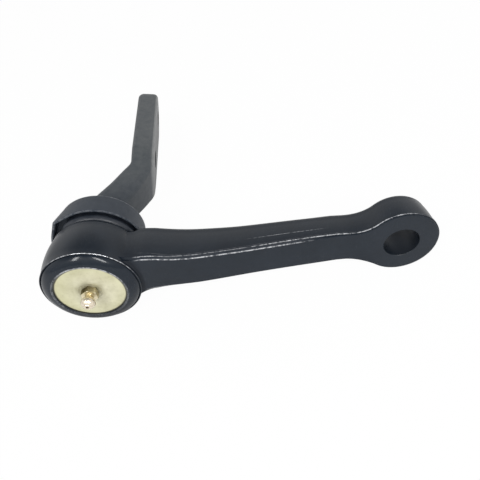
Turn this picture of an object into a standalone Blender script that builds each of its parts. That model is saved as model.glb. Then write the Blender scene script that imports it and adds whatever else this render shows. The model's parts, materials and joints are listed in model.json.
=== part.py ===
# Idler arm of a steering linkage. A forged arm swings on a forged bracket: its housing turns round the
# bracket's stud, and the eye at its far end takes the stud of the linkage.
#
# Everything is laid out from one point, where the pivot axis meets the front face of the end cap. From there
# +Y runs back along the pivot axis, towards the bracket. Two empties stand at that point. One carries the
# arm's pieces, with +X along the arm. The other carries the bracket's, with +X square to the strap's face.
# A third places both, so that the object lies on z = 0 with its middle over the origin.
import math

import bmesh
import bpy
from mathutils import Vector

# Fits, in metres like every size below
SEAT_GAP = 0.0003  # left between two pieces that touch
RUNNING_GAP = 0.0004  # left round the stud where the housing turns on it

# Facets round a turned piece
LARGE_STEPS = 56
SMALL_STEPS = 32
FITTING_STEPS = 24

# Arm: pivot housing
HOUSING_RADIUS = 0.0264
HOUSING_TAPER = 0.0012  # how much the side draws in from the rim to the back
HOUSING_WALL = 0.0056  # at the cap's pocket
HOUSING_DEPTH = 0.0305  # cap face to back face
RIM_DEPTH = 0.0028  # cap face to the sharp edge outside the rolled rim
RIM_EDGE_WIDTH = 0.0005
RIM_GROOVE = 0.0005
RIM_GROOVE_WIDTH = 0.0003
RIM_CREST = 0.0010  # how far the rolled rim stands proud of the cap
RIM_GRIP = 0.0016  # how far the rolled rim reaches over the cap's pocket
CAP_LEDGE = 0.0022
BORE_DEPTH = 0.0200
REAR_SHOULDER = 0.0046  # bore to the rear hole

# Arm: bar and eye
ARM_LENGTH = 0.1651  # pivot axis to eye, 6.5 in
EYE_RADIUS = 0.0190
EYE_HOLE_RADIUS = 0.0093
EYE_HOLE_CHAMFER = 0.0006
EYE_FACE_DEPTH = 0.0035
EYE_BACK_DEPTH = 0.0220
BAR_ROOT_HALF_HEIGHT = 0.0121
BAR_NECK_HALF_HEIGHT = 0.0087
BAR_ROOT_FACE_DEPTH = 0.0049
BAR_NECK_FACE_DEPTH = 0.0062
BAR_BACK_SETBACK = 0.0007  # bar's back in front of the housing's, at the root
BAR_NECK_BACK_STEP = 0.0034  # bar's back behind the eye's, at the neck
ROOT_FILLET_RADIUS = 0.020
ROOT_BITE = 0.0012  # how far the fillets run into the housing's side
EYE_FILLET_RADIUS = 0.025

# Forging marks
SIDE_CROWN = 0.075  # how far the sides draw in towards the back, as a share of their depth
FACE_EDGE = 0.0003
FLASH_SETBACK = 0.0009  # face to the trimmed flash line
FLASH_ROOT_WIDTH = 0.0023
FLASH_WIDTH = 0.0011
FLASH_NARROWING = (0.030, 0.095)  # along the arm, where the rib goes from one width to the other
FLASH_HEIGHT = 0.0005
FLASH_SHOULDER = 0.0001
ROOT_ROUND_DEPTH = 0.0040
ROOT_ROUND_HEIGHT = 0.0028
EYE_ROUND_DEPTH = 0.0030
EYE_ROUND_HEIGHT = 0.0020

# Bracket: flange and stud
FLANGE_OVERHANG = 0.0007  # skirt outside the housing
FLANGE_TAPER = 0.0020
FLANGE_CLEARANCE = 0.0048  # housing's back face to the flange's rim
FLANGE_HEIGHT = 0.0151
FLANGE_EDGE_ROUND = 0.0010
SKIRT_WALL = 0.0018
SKIRT_DEPTH = 0.0051
SPIGOT_SHARE = 8 / 11  # of the journal's radius
STUD_CHAMFER = 0.0008

# Bracket: neck and strap
STRAP_FACE_OFFSET = 0.0250  # pivot axis to the strap's outer face, at the outer bolt hole
STRAP_SIDE_OFFSET = -0.0023
STRAP_LEAN = math.radians(1.32)
STRAP_HALF_WIDTH = 0.01905
STRAP_THICKNESS = 0.0149
BOLT_HOLE_RADIUS = 0.0062
BOLT_SPACING = 0.05715  # 2.25 in
OUTER_BOLT_DEPTH = 0.1832  # cap face to the outer bolt hole
NECK_LEAN = math.radians(23.2)
NECK_HALF_WIDTH = 0.0132
NECK_THICKNESS = 0.0162
NECK_AXIS_OFFSET = -0.0021  # pivot axis to the neck's middle, at the flange's back
BEND_RADIUS = 0.0165
SHOULDER_START = -0.012  # along the neck and strap, from the bend
SHOULDER_END = 0.013
NECK_EDGE_ROUND = 0.0052
STRAP_EDGE_ROUND = 0.0028
STRAP_END_ROUND = 0.0042

# Bearing stack
BUSH_WALL = 0.0023
CONE_SEAT_WALL = 0.0023
CONE_TAPER = 0.0038
CONE_LENGTH = 0.0093
CONE_OVERHANG = 0.0004
JOURNAL_REACH = 0.0022  # how far the journal's end lies in front of the bore's floor
SPIGOT_END_DEPTH = 0.0058
RING_THICKNESS = 0.0010
RING_BITE = 0.0008  # how far the ring sits in the spigot's groove
RING_SHOW = 0.0018  # how far it stands out of it
PAD_THICKNESS = 0.0018
PAD_CLEARANCE = 0.0008
SPRING_THICKNESS = 0.0009

# End cap
CAP_THICKNESS = 0.0026
CAP_DIMPLE_RADIUS = 0.0060
CAP_DIMPLE_DEPTH = 0.0005

# Grease fitting
FITTING_THREAD_RADIUS = 0.0032
FITTING_INNER_LENGTH = 0.0046
HEX_ACROSS_FLATS = 0.0080
HEX_HEIGHT = 0.0036
HEX_CHAMFER = 0.0004
NECK_RADIUS = 0.0023
NIPPLE_RADIUS = 0.0037
NIPPLE_FRONT = 0.0105  # cap face to the nipple's tip
NIPPLE_TIP_RADIUS = 0.0015
GREASE_BORE_RADIUS = 0.0015
GREASE_MOUTH_RADIUS = 0.0008
CRIMP_RADIUS = 0.0010
CRIMP_LENGTH = 0.0006
BALL_RADIUS = 0.0012
CHECK_WIRE_RADIUS = 0.00018
CHECK_TURNS = 8

# Dust seal
SEAL_CLEARANCE = 0.0010  # inside the skirt
SEAL_BULGE = 0.0021  # how far the front bulge stands out of the seal's ends
SEAL_LIP_BULGE = 0.0016
SEAL_WAIST = 0.0010

# How it lies
BRACKET_SWING = math.radians(12.86)  # strap's square line below the arm, seen along +Y


def axial(front, back, share):
    """The depth that lies this share of the way from front to back."""
    return front + (back - front) * share


def smooth_step(low, high, value):
    share = min(max((value - low) / (high - low), 0.0), 1.0)
    return share * share * (3 - 2 * share)


def arc(centre, radii, start, end, steps):
    """Points of an elliptical arc; angles in degrees from the first axis."""
    angles = [math.radians(start + (end - start) * step / steps) for step in range(steps + 1)]
    return [(centre[0] + radii[0] * math.cos(a), centre[1] + radii[1] * math.sin(a)) for a in angles]


# Radii and depths worked out from the sizes above
pocket_radius = HOUSING_RADIUS - HOUSING_WALL
cap_radius = pocket_radius - SEAT_GAP
rim_opening_radius = pocket_radius - RIM_GRIP
bore_radius = pocket_radius - CAP_LEDGE
rear_hole_radius = bore_radius - REAR_SHOULDER
housing_back_radius = HOUSING_RADIUS - HOUSING_TAPER
stud_radius = rear_hole_radius - SEAT_GAP - BUSH_WALL - RUNNING_GAP
spigot_radius = stud_radius * SPIGOT_SHARE
cone_front_radius = bore_radius - SEAT_GAP - CONE_SEAT_WALL
cone_back_radius = cone_front_radius - CONE_TAPER
ring_groove_radius = spigot_radius - RING_BITE
ring_outer_radius = spigot_radius + RING_SHOW
flange_front_radius = HOUSING_RADIUS + FLANGE_OVERHANG
skirt_inside_radius = flange_front_radius - SKIRT_WALL
seal_radius = skirt_inside_radius - SEAL_CLEARANCE

cap_seat = CAP_THICKNESS + SEAT_GAP
stud_shoulder = BORE_DEPTH - JOURNAL_REACH
cone_front = stud_shoulder - SEAT_GAP - CONE_LENGTH
ring_back = cone_front - SEAT_GAP
pad_front = ring_back - PAD_THICKNESS
flange_front = HOUSING_DEPTH + FLANGE_CLEARANCE
flange_floor = flange_front + SKIRT_DEPTH
flange_back = flange_front + FLANGE_HEIGHT


def make_material(name, colour, roughness, metallic):
    material = bpy.data.materials.new(name)
    material.use_nodes = True
    shader = material.node_tree.nodes["Principled BSDF"]
    shader.inputs["Base Color"].default_value = (*colour, 1)
    shader.inputs["Roughness"].default_value = roughness
    shader.inputs["Metallic"].default_value = metallic
    return material


def add_object(name, shape, parent, material=None):
    """An object with this bmesh. One with no material is a cutter or a helper, and stays out of the model."""
    bmesh.ops.recalc_face_normals(shape, faces=shape.faces)
    mesh = bpy.data.meshes.new(name)
    shape.to_mesh(mesh)
    shape.free()
    mesh.shade_smooth()
    mesh.set_sharp_from_angle(angle=math.radians(32))
    piece = bpy.data.objects.new(name, mesh)
    piece.parent = parent
    bpy.context.scene.collection.objects.link(piece)
    if material:
        mesh.materials.append(material)
    else:
        piece.hide_render = True
        piece.display_type = "WIRE"
    return piece


def combine(piece, other, operation):
    boolean = piece.modifiers.new(f"{operation.title()} {other.name}", "BOOLEAN")
    boolean.operation = operation
    boolean.object = other


def turned_shape(profile, steps, ring=False):
    """A body turned about the Y axis from (radius, depth) corners. A ring's profile closes on itself."""
    shape = bmesh.new()
    corners = [shape.verts.new((radius, depth, 0)) for radius, depth in profile]
    ends = corners[1:] + corners[:1] if ring else corners[1:]
    edges = [shape.edges.new(pair) for pair in zip(corners, ends)]
    bmesh.ops.spin(shape, geom=corners + edges, cent=(0, 0, 0), axis=(0, 1, 0), angle=math.tau, steps=steps)
    bmesh.ops.remove_doubles(shape, verts=shape.verts, dist=1e-6)
    return shape


def forged_shape(outline, layers, place):
    """A forging built as layers of one outline.

    outline: half of it, as (x, z, normal x, normal z) from the root to the tip on z = 0; the rest mirrors it.
    layers(x): (depth, inset) of each layer there, from the front face to the back face.
    place(x, depth, z): where such a point lies.
    """
    shape = bmesh.new()
    mirrored = [(x, -z, nx, -nz) for x, z, nx, nz in reversed(outline[:-1])]
    rings = []
    for level in range(len(layers(outline[0][0]))):
        ring = []
        for x, z, nx, nz in outline + mirrored:
            depth, inset = layers(x)[level]
            ring.append(shape.verts.new(place(x - nx * inset, depth, z - nz * inset)))
        rings.append(ring)
    last = len(rings[0]) - 1
    for near, far in zip(rings, rings[1:]):
        for i in range(len(near)):
            j = (i + 1) % len(near)
            shape.faces.new((near[i], near[j], far[j], far[i]))
    for ring in (rings[0], rings[-1]):
        for i in range(len(outline) - 1):
            corners = (ring[i], ring[i + 1], ring[last - i - 1], ring[last - i])
            shape.faces.new(dict.fromkeys(corners))
    return shape


def cylinder_shape(radius, start, end, steps=SMALL_STEPS, chamfer=0.0):
    """A plain drill from start to end, widening by the chamfer where it leaves each face."""
    along = (end - start).normalized()
    side = along.orthogonal().normalized()
    up = along.cross(side)
    shape = bmesh.new()
    over = along * radius
    stations = [(start - over, radius + chamfer), (end + over, radius + chamfer)]
    if chamfer:
        stations[1:1] = [
            (start, radius + chamfer),
            (start + along * chamfer, radius),
            (end - along * chamfer, radius),
            (end, radius + chamfer),
        ]
    rings = []
    for centre, size in stations:
        angles = [math.tau * step / steps for step in range(steps)]
        rings.append([shape.verts.new(centre + size * (side * math.cos(a) + up * math.sin(a))) for a in angles])
    for near, far in zip(rings, rings[1:]):
        for i in range(steps):
            j = (i + 1) % steps
            shape.faces.new((near[i], near[j], far[j], far[i]))
    shape.faces.new(rings[0])
    shape.faces.new(rings[-1])
    return shape


# Arm outline: a straight edge that tapers, with a fillet into the housing and one into the eye
def fillet_centre(circle_x, circle_radius, fillet_radius, edge_angle, edge_reach, side):
    """Centre of a fillet that touches the bar's edge and a circle on the arm's middle line."""
    along = circle_x * math.cos(edge_angle)
    above = circle_x * math.sin(edge_angle)
    gap = edge_reach + fillet_radius - above
    along += side * math.sqrt((circle_radius + fillet_radius) ** 2 - gap**2)
    reach = edge_reach + fillet_radius
    x = along * math.cos(edge_angle) + reach * math.sin(edge_angle)
    z = -along * math.sin(edge_angle) + reach * math.cos(edge_angle)
    return x, z


def arm_outline():
    neck_x = ARM_LENGTH - EYE_RADIUS
    edge_angle = math.atan2(BAR_ROOT_HALF_HEIGHT - BAR_NECK_HALF_HEIGHT, neck_x - HOUSING_RADIUS)
    edge_reach = HOUSING_RADIUS * math.sin(edge_angle) + BAR_ROOT_HALF_HEIGHT * math.cos(edge_angle)
    root_radius = HOUSING_RADIUS - ROOT_BITE
    root = fillet_centre(0, root_radius, ROOT_FILLET_RADIUS, edge_angle, edge_reach, 1)
    neck = fillet_centre(ARM_LENGTH, EYE_RADIUS, EYE_FILLET_RADIUS, edge_angle, edge_reach, -1)
    down = -90 - math.degrees(edge_angle)
    root_start = math.degrees(math.atan2(-root[1], -root[0]))
    neck_end = math.degrees(math.atan2(-neck[1], ARM_LENGTH - neck[0]))
    eye_start = 180 + neck_end
    points = []
    for centre, radius, start, end, steps in (
        (root, ROOT_FILLET_RADIUS, root_start, down, 6),
        (neck, EYE_FILLET_RADIUS, down, neck_end, 7),
    ):
        turn = (1, 1)
        spokes = arc((0, 0), turn, start, end, steps)
        points += [(centre[0] + radius * c, centre[1] + radius * s, -c, -s) for c, s in spokes]
    straight = [points[6], points[7]]
    for share in (0.25, 0.5, 0.75):
        x, z = (axial(straight[0][axis], straight[1][axis], share) for axis in (0, 1))
        points.insert(-8, (x, z, straight[0][2], straight[0][3]))
    spokes = arc((0, 0), (1, 1), eye_start, 0, 15)[1:]
    points += [(ARM_LENGTH + EYE_RADIUS * c, EYE_RADIUS * s, c, s) for c, s in spokes]
    tip = points.pop()
    return points + [(tip[0], 0.0, 1.0, 0.0)]


def arm_layers(x):
    """The bar's face lies a little behind the eye's, and its back runs forward from the housing to the eye."""
    neck_x = ARM_LENGTH - EYE_RADIUS - EYE_FILLET_RADIUS
    to_neck = smooth_step(2 * HOUSING_RADIUS, neck_x, x)
    to_eye = smooth_step(ARM_LENGTH - 1.8 * EYE_RADIUS, ARM_LENGTH - 0.65 * EYE_RADIUS, x)
    along_bar = min(max((x - HOUSING_RADIUS) / (neck_x - HOUSING_RADIUS), 0.0), 1.0)
    face = axial(axial(BAR_ROOT_FACE_DEPTH, BAR_NECK_FACE_DEPTH, to_neck), EYE_FACE_DEPTH, to_eye)
    back = axial(axial(HOUSING_DEPTH - BAR_BACK_SETBACK, EYE_BACK_DEPTH + BAR_NECK_BACK_STEP, along_bar), EYE_BACK_DEPTH, to_eye)
    round_depth = axial(ROOT_ROUND_DEPTH, EYE_ROUND_DEPTH, to_eye)
    round_height = axial(ROOT_ROUND_HEIGHT, EYE_ROUND_HEIGHT, to_eye)
    flash = face + FLASH_SETBACK
    side = flash + axial(FLASH_ROOT_WIDTH, FLASH_WIDTH, smooth_step(*FLASH_NARROWING, x))
    crown_start = side + FLASH_SHOULDER
    crown_end = back - round_depth
    crown = (crown_end - crown_start) * SIDE_CROWN
    rows = [(face, FACE_EDGE), (face + FACE_EDGE, 0.0), (flash - FLASH_SHOULDER, 0.0)]
    rows += [(flash, -FLASH_HEIGHT), (side, -FLASH_HEIGHT)]
    rows += [(axial(crown_start, crown_end, share), crown * share**2) for share in (0, 0.4, 0.75)]
    rows += arc((crown_end, crown + round_height), (round_depth, round_height), -90, 0, 5)
    return rows


def housing_profile():
    """Outside of the housing: the rolled rim, its sharp outer edge, the drafted side and the rounded back."""
    edge_radius = HOUSING_RADIUS - RIM_EDGE_WIDTH
    roll_depth = RIM_DEPTH + RIM_GROOVE
    crest = rim_opening_radius + RIM_CREST
    roll_size = (edge_radius - RIM_GROOVE_WIDTH - crest, roll_depth + RIM_CREST)
    roll = arc((crest, roll_depth), roll_size, 90, 0, 7)
    rolled = [(radius, 2 * roll_depth - depth) for radius, depth in roll]
    back_radius = housing_back_radius - ROOT_ROUND_HEIGHT
    rounding = arc(
        (back_radius, HOUSING_DEPTH - ROOT_ROUND_DEPTH), (ROOT_ROUND_HEIGHT, ROOT_ROUND_DEPTH), 0, 90, 5
    )
    lip = [(0, -RIM_CREST / 2), (rim_opening_radius - RIM_CREST / 2, -RIM_CREST / 2)]
    edge = [(edge_radius, RIM_DEPTH), (HOUSING_RADIUS, RIM_DEPTH)]
    return lip + rolled + edge + rounding + [(0, HOUSING_DEPTH)]


def bore_profile():
    """Inside of the housing, from in front of the rolled rim to behind the back face."""
    return [
        (0, -2 * RIM_CREST),
        (rim_opening_radius, -2 * RIM_CREST),
        (rim_opening_radius, -SEAT_GAP),
        (pocket_radius, -SEAT_GAP),
        (pocket_radius, cap_seat),
        (bore_radius, cap_seat),
        (bore_radius, BORE_DEPTH),
        (rear_hole_radius, BORE_DEPTH),
        (rear_hole_radius, 2 * HOUSING_DEPTH),
        (0, 2 * HOUSING_DEPTH),
    ]


def build_arm(carrier, paint):
    """One forging: housing, bar and eye."""
    arm = add_object("arm", turned_shape(housing_profile(), LARGE_STEPS), carrier, paint)
    bar = add_object("bar_form", forged_shape(arm_outline(), arm_layers, lambda *at: Vector(at)), carrier)
    bore = add_object("bore_cutter", turned_shape(bore_profile(), LARGE_STEPS), carrier)
    eye_front = Vector((ARM_LENGTH, EYE_FACE_DEPTH, 0))
    eye_back = Vector((ARM_LENGTH, EYE_BACK_DEPTH, 0))
    drill = cylinder_shape(EYE_HOLE_RADIUS, eye_front, eye_back, SMALL_STEPS, EYE_HOLE_CHAMFER)
    combine(arm, bar, "UNION")
    combine(arm, bore, "DIFFERENCE")
    combine(arm, add_object("eye_cutter", drill, carrier), "DIFFERENCE")


# Bracket path: the middle of the neck and strap, in the plane of the pivot axis
def bend_point():
    """Where the neck's middle line would meet the strap's."""
    strap_middle = STRAP_FACE_OFFSET - STRAP_THICKNESS / 2
    lean = math.tan(STRAP_LEAN)
    climb = math.tan(NECK_LEAN)
    rise = strap_middle + (OUTER_BOLT_DEPTH - flange_back) * lean - NECK_AXIS_OFFSET
    depth = flange_back + rise / (climb + lean)
    return NECK_AXIS_OFFSET + (depth - flange_back) * climb, depth


def along_path(distance):
    """(across, depth, heading) at this distance from the bend; heading is measured from +Y towards +X."""
    turn = NECK_LEAN + STRAP_LEAN
    tangent = BEND_RADIUS * math.tan(turn / 2)
    across, depth = bend_point()
    half_arc = BEND_RADIUS * turn / 2
    if abs(distance) <= half_arc:
        start_x = across - tangent * math.sin(NECK_LEAN)
        start_y = depth - tangent * math.cos(NECK_LEAN)
        bent = (distance + half_arc) / BEND_RADIUS
        heading = NECK_LEAN - bent
        x = start_x + BEND_RADIUS * (math.cos(heading) - math.cos(NECK_LEAN))
        y = start_y + BEND_RADIUS * (math.sin(NECK_LEAN) - math.sin(heading))
        return x, y, heading
    heading = NECK_LEAN if distance < 0 else -STRAP_LEAN
    run = distance + math.copysign(tangent - half_arc, distance)
    return across + run * math.sin(heading), depth + run * math.cos(heading), heading


def path_length_to(depth):
    """Distance along the strap, from the bend, of this depth."""
    turn = NECK_LEAN + STRAP_LEAN
    saved = BEND_RADIUS * (math.tan(turn / 2) - turn / 2)
    return (depth - bend_point()[1]) / math.cos(STRAP_LEAN) - saved


def place_on_path(distance, offset, side):
    across, depth, heading = along_path(distance)
    x = across + offset * math.cos(heading)
    y = depth - offset * math.sin(heading)
    return Vector((x, y, side + STRAP_SIDE_OFFSET))


def slab_outline():
    """Half outline of the neck and strap along their own path, round at the strap's end."""
    start = (axial(flange_floor, flange_back, 0.5) - bend_point()[1]) / math.cos(NECK_LEAN)
    end = path_length_to(OUTER_BOLT_DEPTH)
    stations = [axial(start, SHOULDER_START, share) for share in (0, 0.5, 0.75)]
    stations += [axial(SHOULDER_START, SHOULDER_END, share / 10) for share in range(11)]
    stations += [axial(SHOULDER_END, end, share) for share in (0.35, 0.7)]

    def half_width(distance):
        widen = smooth_step(SHOULDER_START, SHOULDER_END, distance)
        return axial(NECK_HALF_WIDTH, STRAP_HALF_WIDTH, widen)

    points = []
    for station in stations:
        step = STRAP_EDGE_ROUND / 10
        slope = (half_width(station + step) - half_width(station - step)) / (2 * step)
        length = math.hypot(1, slope)
        points.append((station, half_width(station), -slope / length, 1 / length))
    spokes = arc((0, 0), (1, 1), 90, 0, 12)
    points += [(end + STRAP_HALF_WIDTH * c, STRAP_HALF_WIDTH * s, c, s) for c, s in spokes]
    tip = points.pop()
    return points + [(tip[0], 0.0, 1.0, 0.0)]


def slab_layers(distance):
    """Layers through the thickness, from the strap's inner face to its outer face.

    The edges are rounder on the neck than on the strap, and rounder again round the strap's end.
    """
    thin = smooth_step(SHOULDER_START, 0, distance)
    half = axial(NECK_THICKNESS, STRAP_THICKNESS, thin) / 2
    end = path_length_to(OUTER_BOLT_DEPTH)
    size = axial(NECK_EDGE_ROUND, STRAP_EDGE_ROUND, smooth_step(1.4 * SHOULDER_START, SHOULDER_END, distance))
    size = axial(size, STRAP_END_ROUND, smooth_step(end, end + STRAP_HALF_WIDTH, distance))
    inner = arc((-half + size, size), (size, size), 180, 270, 5)
    outer = arc((half - size, size), (size, size), 270, 360, 5)
    return inner + outer


def flange_profile():
    """Skirted flange and the machined stud in front of it, from the stud's end to the flange's back."""
    groove_front = ring_back - RING_THICKNESS - SEAT_GAP
    inside = skirt_inside_radius
    rim_round = SKIRT_WALL / 3
    back = arc(
        (flange_front_radius - FLANGE_TAPER - FLANGE_EDGE_ROUND, flange_back - FLANGE_EDGE_ROUND),
        (FLANGE_EDGE_ROUND, FLANGE_EDGE_ROUND),
        0,
        90,
        3,
    )
    return [
        (0, SPIGOT_END_DEPTH),
        (spigot_radius - STUD_CHAMFER / 2, SPIGOT_END_DEPTH),
        (spigot_radius, SPIGOT_END_DEPTH + STUD_CHAMFER / 2),
        (spigot_radius, groove_front),
        (ring_groove_radius - SEAT_GAP, groove_front),
        (ring_groove_radius - SEAT_GAP, ring_back + SEAT_GAP / 2),
        (spigot_radius, ring_back + SEAT_GAP / 2),
        (spigot_radius, stud_shoulder),
        (stud_radius - STUD_CHAMFER, stud_shoulder),
        (stud_radius, stud_shoulder + STUD_CHAMFER),
        (stud_radius, flange_floor),
        (inside - rim_round, flange_floor),
        (inside, flange_floor - rim_round),
        (inside, flange_front + rim_round),
        (inside + rim_round, flange_front),
        (flange_front_radius - rim_round, flange_front),
        (flange_front_radius, flange_front + rim_round),
        *back,
        (0, flange_back),
    ]


def build_bracket(carrier, paint):
    """One forging: stud, skirted flange, neck and strap, with two bolt holes drilled square to the strap."""
    bracket = add_object("bracket", turned_shape(flange_profile(), LARGE_STEPS), carrier, paint)
    slab = add_object("strap_form", forged_shape(slab_outline(), slab_layers, place_on_path), carrier)
    combine(bracket, slab, "UNION")
    outer_bolt = path_length_to(OUTER_BOLT_DEPTH)
    for name, distance in (("outer", outer_bolt), ("inner", outer_bolt - BOLT_SPACING)):
        ends = [place_on_path(distance, side * STRAP_THICKNESS / 2, 0) for side in (-1, 1)]
        drill = add_object(f"{name}_bolt_cutter", cylinder_shape(BOLT_HOLE_RADIUS, *ends, FITTING_STEPS), carrier)
        combine(bracket, drill, "DIFFERENCE")


def build_bearing(arm_carrier, bracket_carrier, materials):
    """What the housing holds: a cone locked on the stud, its seat, a rear bush, and the spring that loads them."""
    bronze, steel, spring_steel = materials["bronze"], materials["steel"], materials["spring"]
    cone_back = cone_front + CONE_LENGTH
    cone = [
        (spigot_radius + SEAT_GAP, cone_front),
        (cone_front_radius - STUD_CHAMFER, cone_front),
        (cone_front_radius, cone_front + STUD_CHAMFER),
        (cone_back_radius, cone_back),
        (spigot_radius + SEAT_GAP, cone_back),
    ]
    add_object("bearing_cone", turned_shape(cone, SMALL_STEPS, ring=True), bracket_carrier, steel)

    taper = (cone_front_radius - cone_back_radius) / (CONE_LENGTH - STUD_CHAMFER)
    gap = RUNNING_GAP * math.hypot(1, taper)
    seat_front = cone_front + STUD_CHAMFER
    seat_inner = cone_back_radius + CONE_OVERHANG
    narrow = seat_front + (cone_front_radius + gap - seat_inner) / taper
    seat = [
        (bore_radius - SEAT_GAP, seat_front),
        (bore_radius - SEAT_GAP, BORE_DEPTH - SEAT_GAP),
        (seat_inner, BORE_DEPTH - SEAT_GAP),
        (seat_inner, narrow),
        (cone_front_radius + gap, seat_front),
    ]
    add_object("cone_seat", turned_shape(seat, LARGE_STEPS, ring=True), arm_carrier, bronze)

    bush_front = BORE_DEPTH + SEAT_GAP
    bush = [
        (rear_hole_radius - SEAT_GAP, bush_front),
        (rear_hole_radius - SEAT_GAP, HOUSING_DEPTH - SEAT_GAP),
        (stud_radius + RUNNING_GAP, HOUSING_DEPTH - SEAT_GAP),
        (stud_radius + RUNNING_GAP, bush_front),
    ]
    add_object("rear_bush", turned_shape(bush, SMALL_STEPS, ring=True), arm_carrier, bronze)

    ring = [
        (ring_groove_radius, ring_back - RING_THICKNESS),
        (ring_outer_radius, ring_back - RING_THICKNESS),
        (ring_outer_radius, ring_back),
        (ring_groove_radius, ring_back),
    ]
    add_object("retaining_ring", turned_shape(ring, SMALL_STEPS, ring=True), bracket_carrier, spring_steel)

    pad_inner = ring_outer_radius + PAD_CLEARANCE
    pad = [
        (pad_inner, pad_front),
        (bore_radius - RUNNING_GAP, pad_front),
        (bore_radius - RUNNING_GAP, ring_back),
        (pad_inner, ring_back),
    ]
    add_object("pressure_pad", turned_shape(pad, SMALL_STEPS, ring=True), arm_carrier, bronze)

    spring_front = CAP_THICKNESS + SEAT_GAP
    spring_back = pad_front - SEAT_GAP
    outer = bore_radius - RUNNING_GAP
    spring = [
        (spigot_radius, spring_front),
        (outer, spring_back - SPRING_THICKNESS),
        (outer, spring_back),
        (spigot_radius, spring_front + SPRING_THICKNESS),
    ]
    add_object("preload_spring", turned_shape(spring, SMALL_STEPS, ring=True), arm_carrier, spring_steel)


def build_cap(carrier, zinc):
    """Stamped steel disc, held under the rolled rim, with a shallow dimple round the grease fitting."""
    hole = FITTING_THREAD_RADIUS + SEAT_GAP
    profile = [
        (hole, CAP_DIMPLE_DEPTH),
        (CAP_DIMPLE_RADIUS - CAP_DIMPLE_DEPTH, CAP_DIMPLE_DEPTH),
        (CAP_DIMPLE_RADIUS, 0),
        (cap_radius, 0),
        (cap_radius, CAP_THICKNESS),
        (hole, CAP_THICKNESS),
    ]
    add_object("end_cap", turned_shape(profile, LARGE_STEPS, ring=True), carrier, zinc)


def hexagon_shape(across_flats, front, back):
    shape = bmesh.new()
    corner = across_flats / math.sqrt(3)
    rings = []
    for depth, size in ((front, corner - HEX_CHAMFER), (front + HEX_CHAMFER, corner), (back, corner)):
        angles = [math.radians(60 * step) for step in range(6)]
        rings.append([shape.verts.new((size * math.cos(a), depth, size * math.sin(a))) for a in angles])
    for near, far in zip(rings, rings[1:]):
        for i in range(6):
            j = (i + 1) % 6
            shape.faces.new((near[i], near[j], far[j], far[i]))
    shape.faces.new(rings[0])
    shape.faces.new(rings[-1])
    return shape


def build_grease_fitting(carrier, materials):
    """Brass nipple with a hexagon, and the ball and coil spring that close its mouth."""
    hex_back = CAP_DIMPLE_DEPTH - SEAT_GAP
    hex_front = hex_back - HEX_HEIGHT
    tip = -NIPPLE_FRONT
    head_back = hex_front - NECK_RADIUS / 2
    head_middle = axial(head_back, tip, 0.42)
    nose = arc((0, head_middle), (NIPPLE_RADIUS, head_middle - tip), 0, -62, 5)
    thread_end = FITTING_INNER_LENGTH
    ball_seat = tip + 2 * GREASE_MOUTH_RADIUS
    body = [
        (GREASE_MOUTH_RADIUS, tip),
        (NIPPLE_TIP_RADIUS, tip),
        *reversed(nose),
        (NECK_RADIUS, head_back),
        (NECK_RADIUS, hex_front + HEX_CHAMFER),
        (FITTING_THREAD_RADIUS, hex_front + 2 * HEX_CHAMFER),
        (FITTING_THREAD_RADIUS, thread_end),
        (CRIMP_RADIUS, thread_end),
        (CRIMP_RADIUS, thread_end - CRIMP_LENGTH),
        (GREASE_BORE_RADIUS, thread_end - CRIMP_LENGTH),
        (GREASE_BORE_RADIUS, ball_seat + GREASE_BORE_RADIUS - GREASE_MOUTH_RADIUS),
        (GREASE_MOUTH_RADIUS, ball_seat),
    ]
    hexagon = hexagon_shape(HEX_ACROSS_FLATS, hex_front, hex_back)
    fitting = add_object("grease_fitting", turned_shape(body, FITTING_STEPS, ring=True), carrier, materials["brass"])
    passage_ends = (Vector((0, hex_front, 0)), Vector((0, hex_back, 0)))
    passage = cylinder_shape(axial(GREASE_BORE_RADIUS, NECK_RADIUS, 0.4), *passage_ends, FITTING_STEPS)
    collar = add_object("hexagon_form", hexagon, carrier)
    combine(collar, add_object("passage_cutter", passage, carrier), "DIFFERENCE")
    combine(fitting, collar, "UNION")

    cone_run = (BALL_RADIUS + SEAT_GAP) * math.sqrt(2) - GREASE_MOUTH_RADIUS
    ball_depth = ball_seat + cone_run
    shape = bmesh.new()
    bmesh.ops.create_uvsphere(shape, u_segments=12, v_segments=8, radius=BALL_RADIUS)
    ball = add_object("check_ball", shape, carrier, materials["steel"])
    ball.location = (0, ball_depth, 0)

    coil_start = ball_depth + BALL_RADIUS + SEAT_GAP + CHECK_WIRE_RADIUS
    coil_end = thread_end - CRIMP_LENGTH - SEAT_GAP - CHECK_WIRE_RADIUS
    coil_radius = GREASE_BORE_RADIUS - SEAT_GAP / 2 - CHECK_WIRE_RADIUS
    turns = CHECK_TURNS * 10
    path = bpy.data.curves.new("check_spring", "CURVE")
    path.dimensions = "3D"
    path.bevel_depth = CHECK_WIRE_RADIUS
    path.bevel_resolution = 1
    path.use_fill_caps = True
    spline = path.splines.new("POLY")
    spline.points.add(turns)
    for step, point in enumerate(spline.points):
        angle = math.tau * step / 10
        depth = axial(coil_start, coil_end, step / turns)
        point.co = (coil_radius * math.cos(angle), depth, coil_radius * math.sin(angle), 1)
    spring = bpy.data.objects.new("check_spring", path)
    spring.parent = carrier
    path.materials.append(materials["spring"])
    bpy.context.scene.collection.objects.link(spring)


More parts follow.
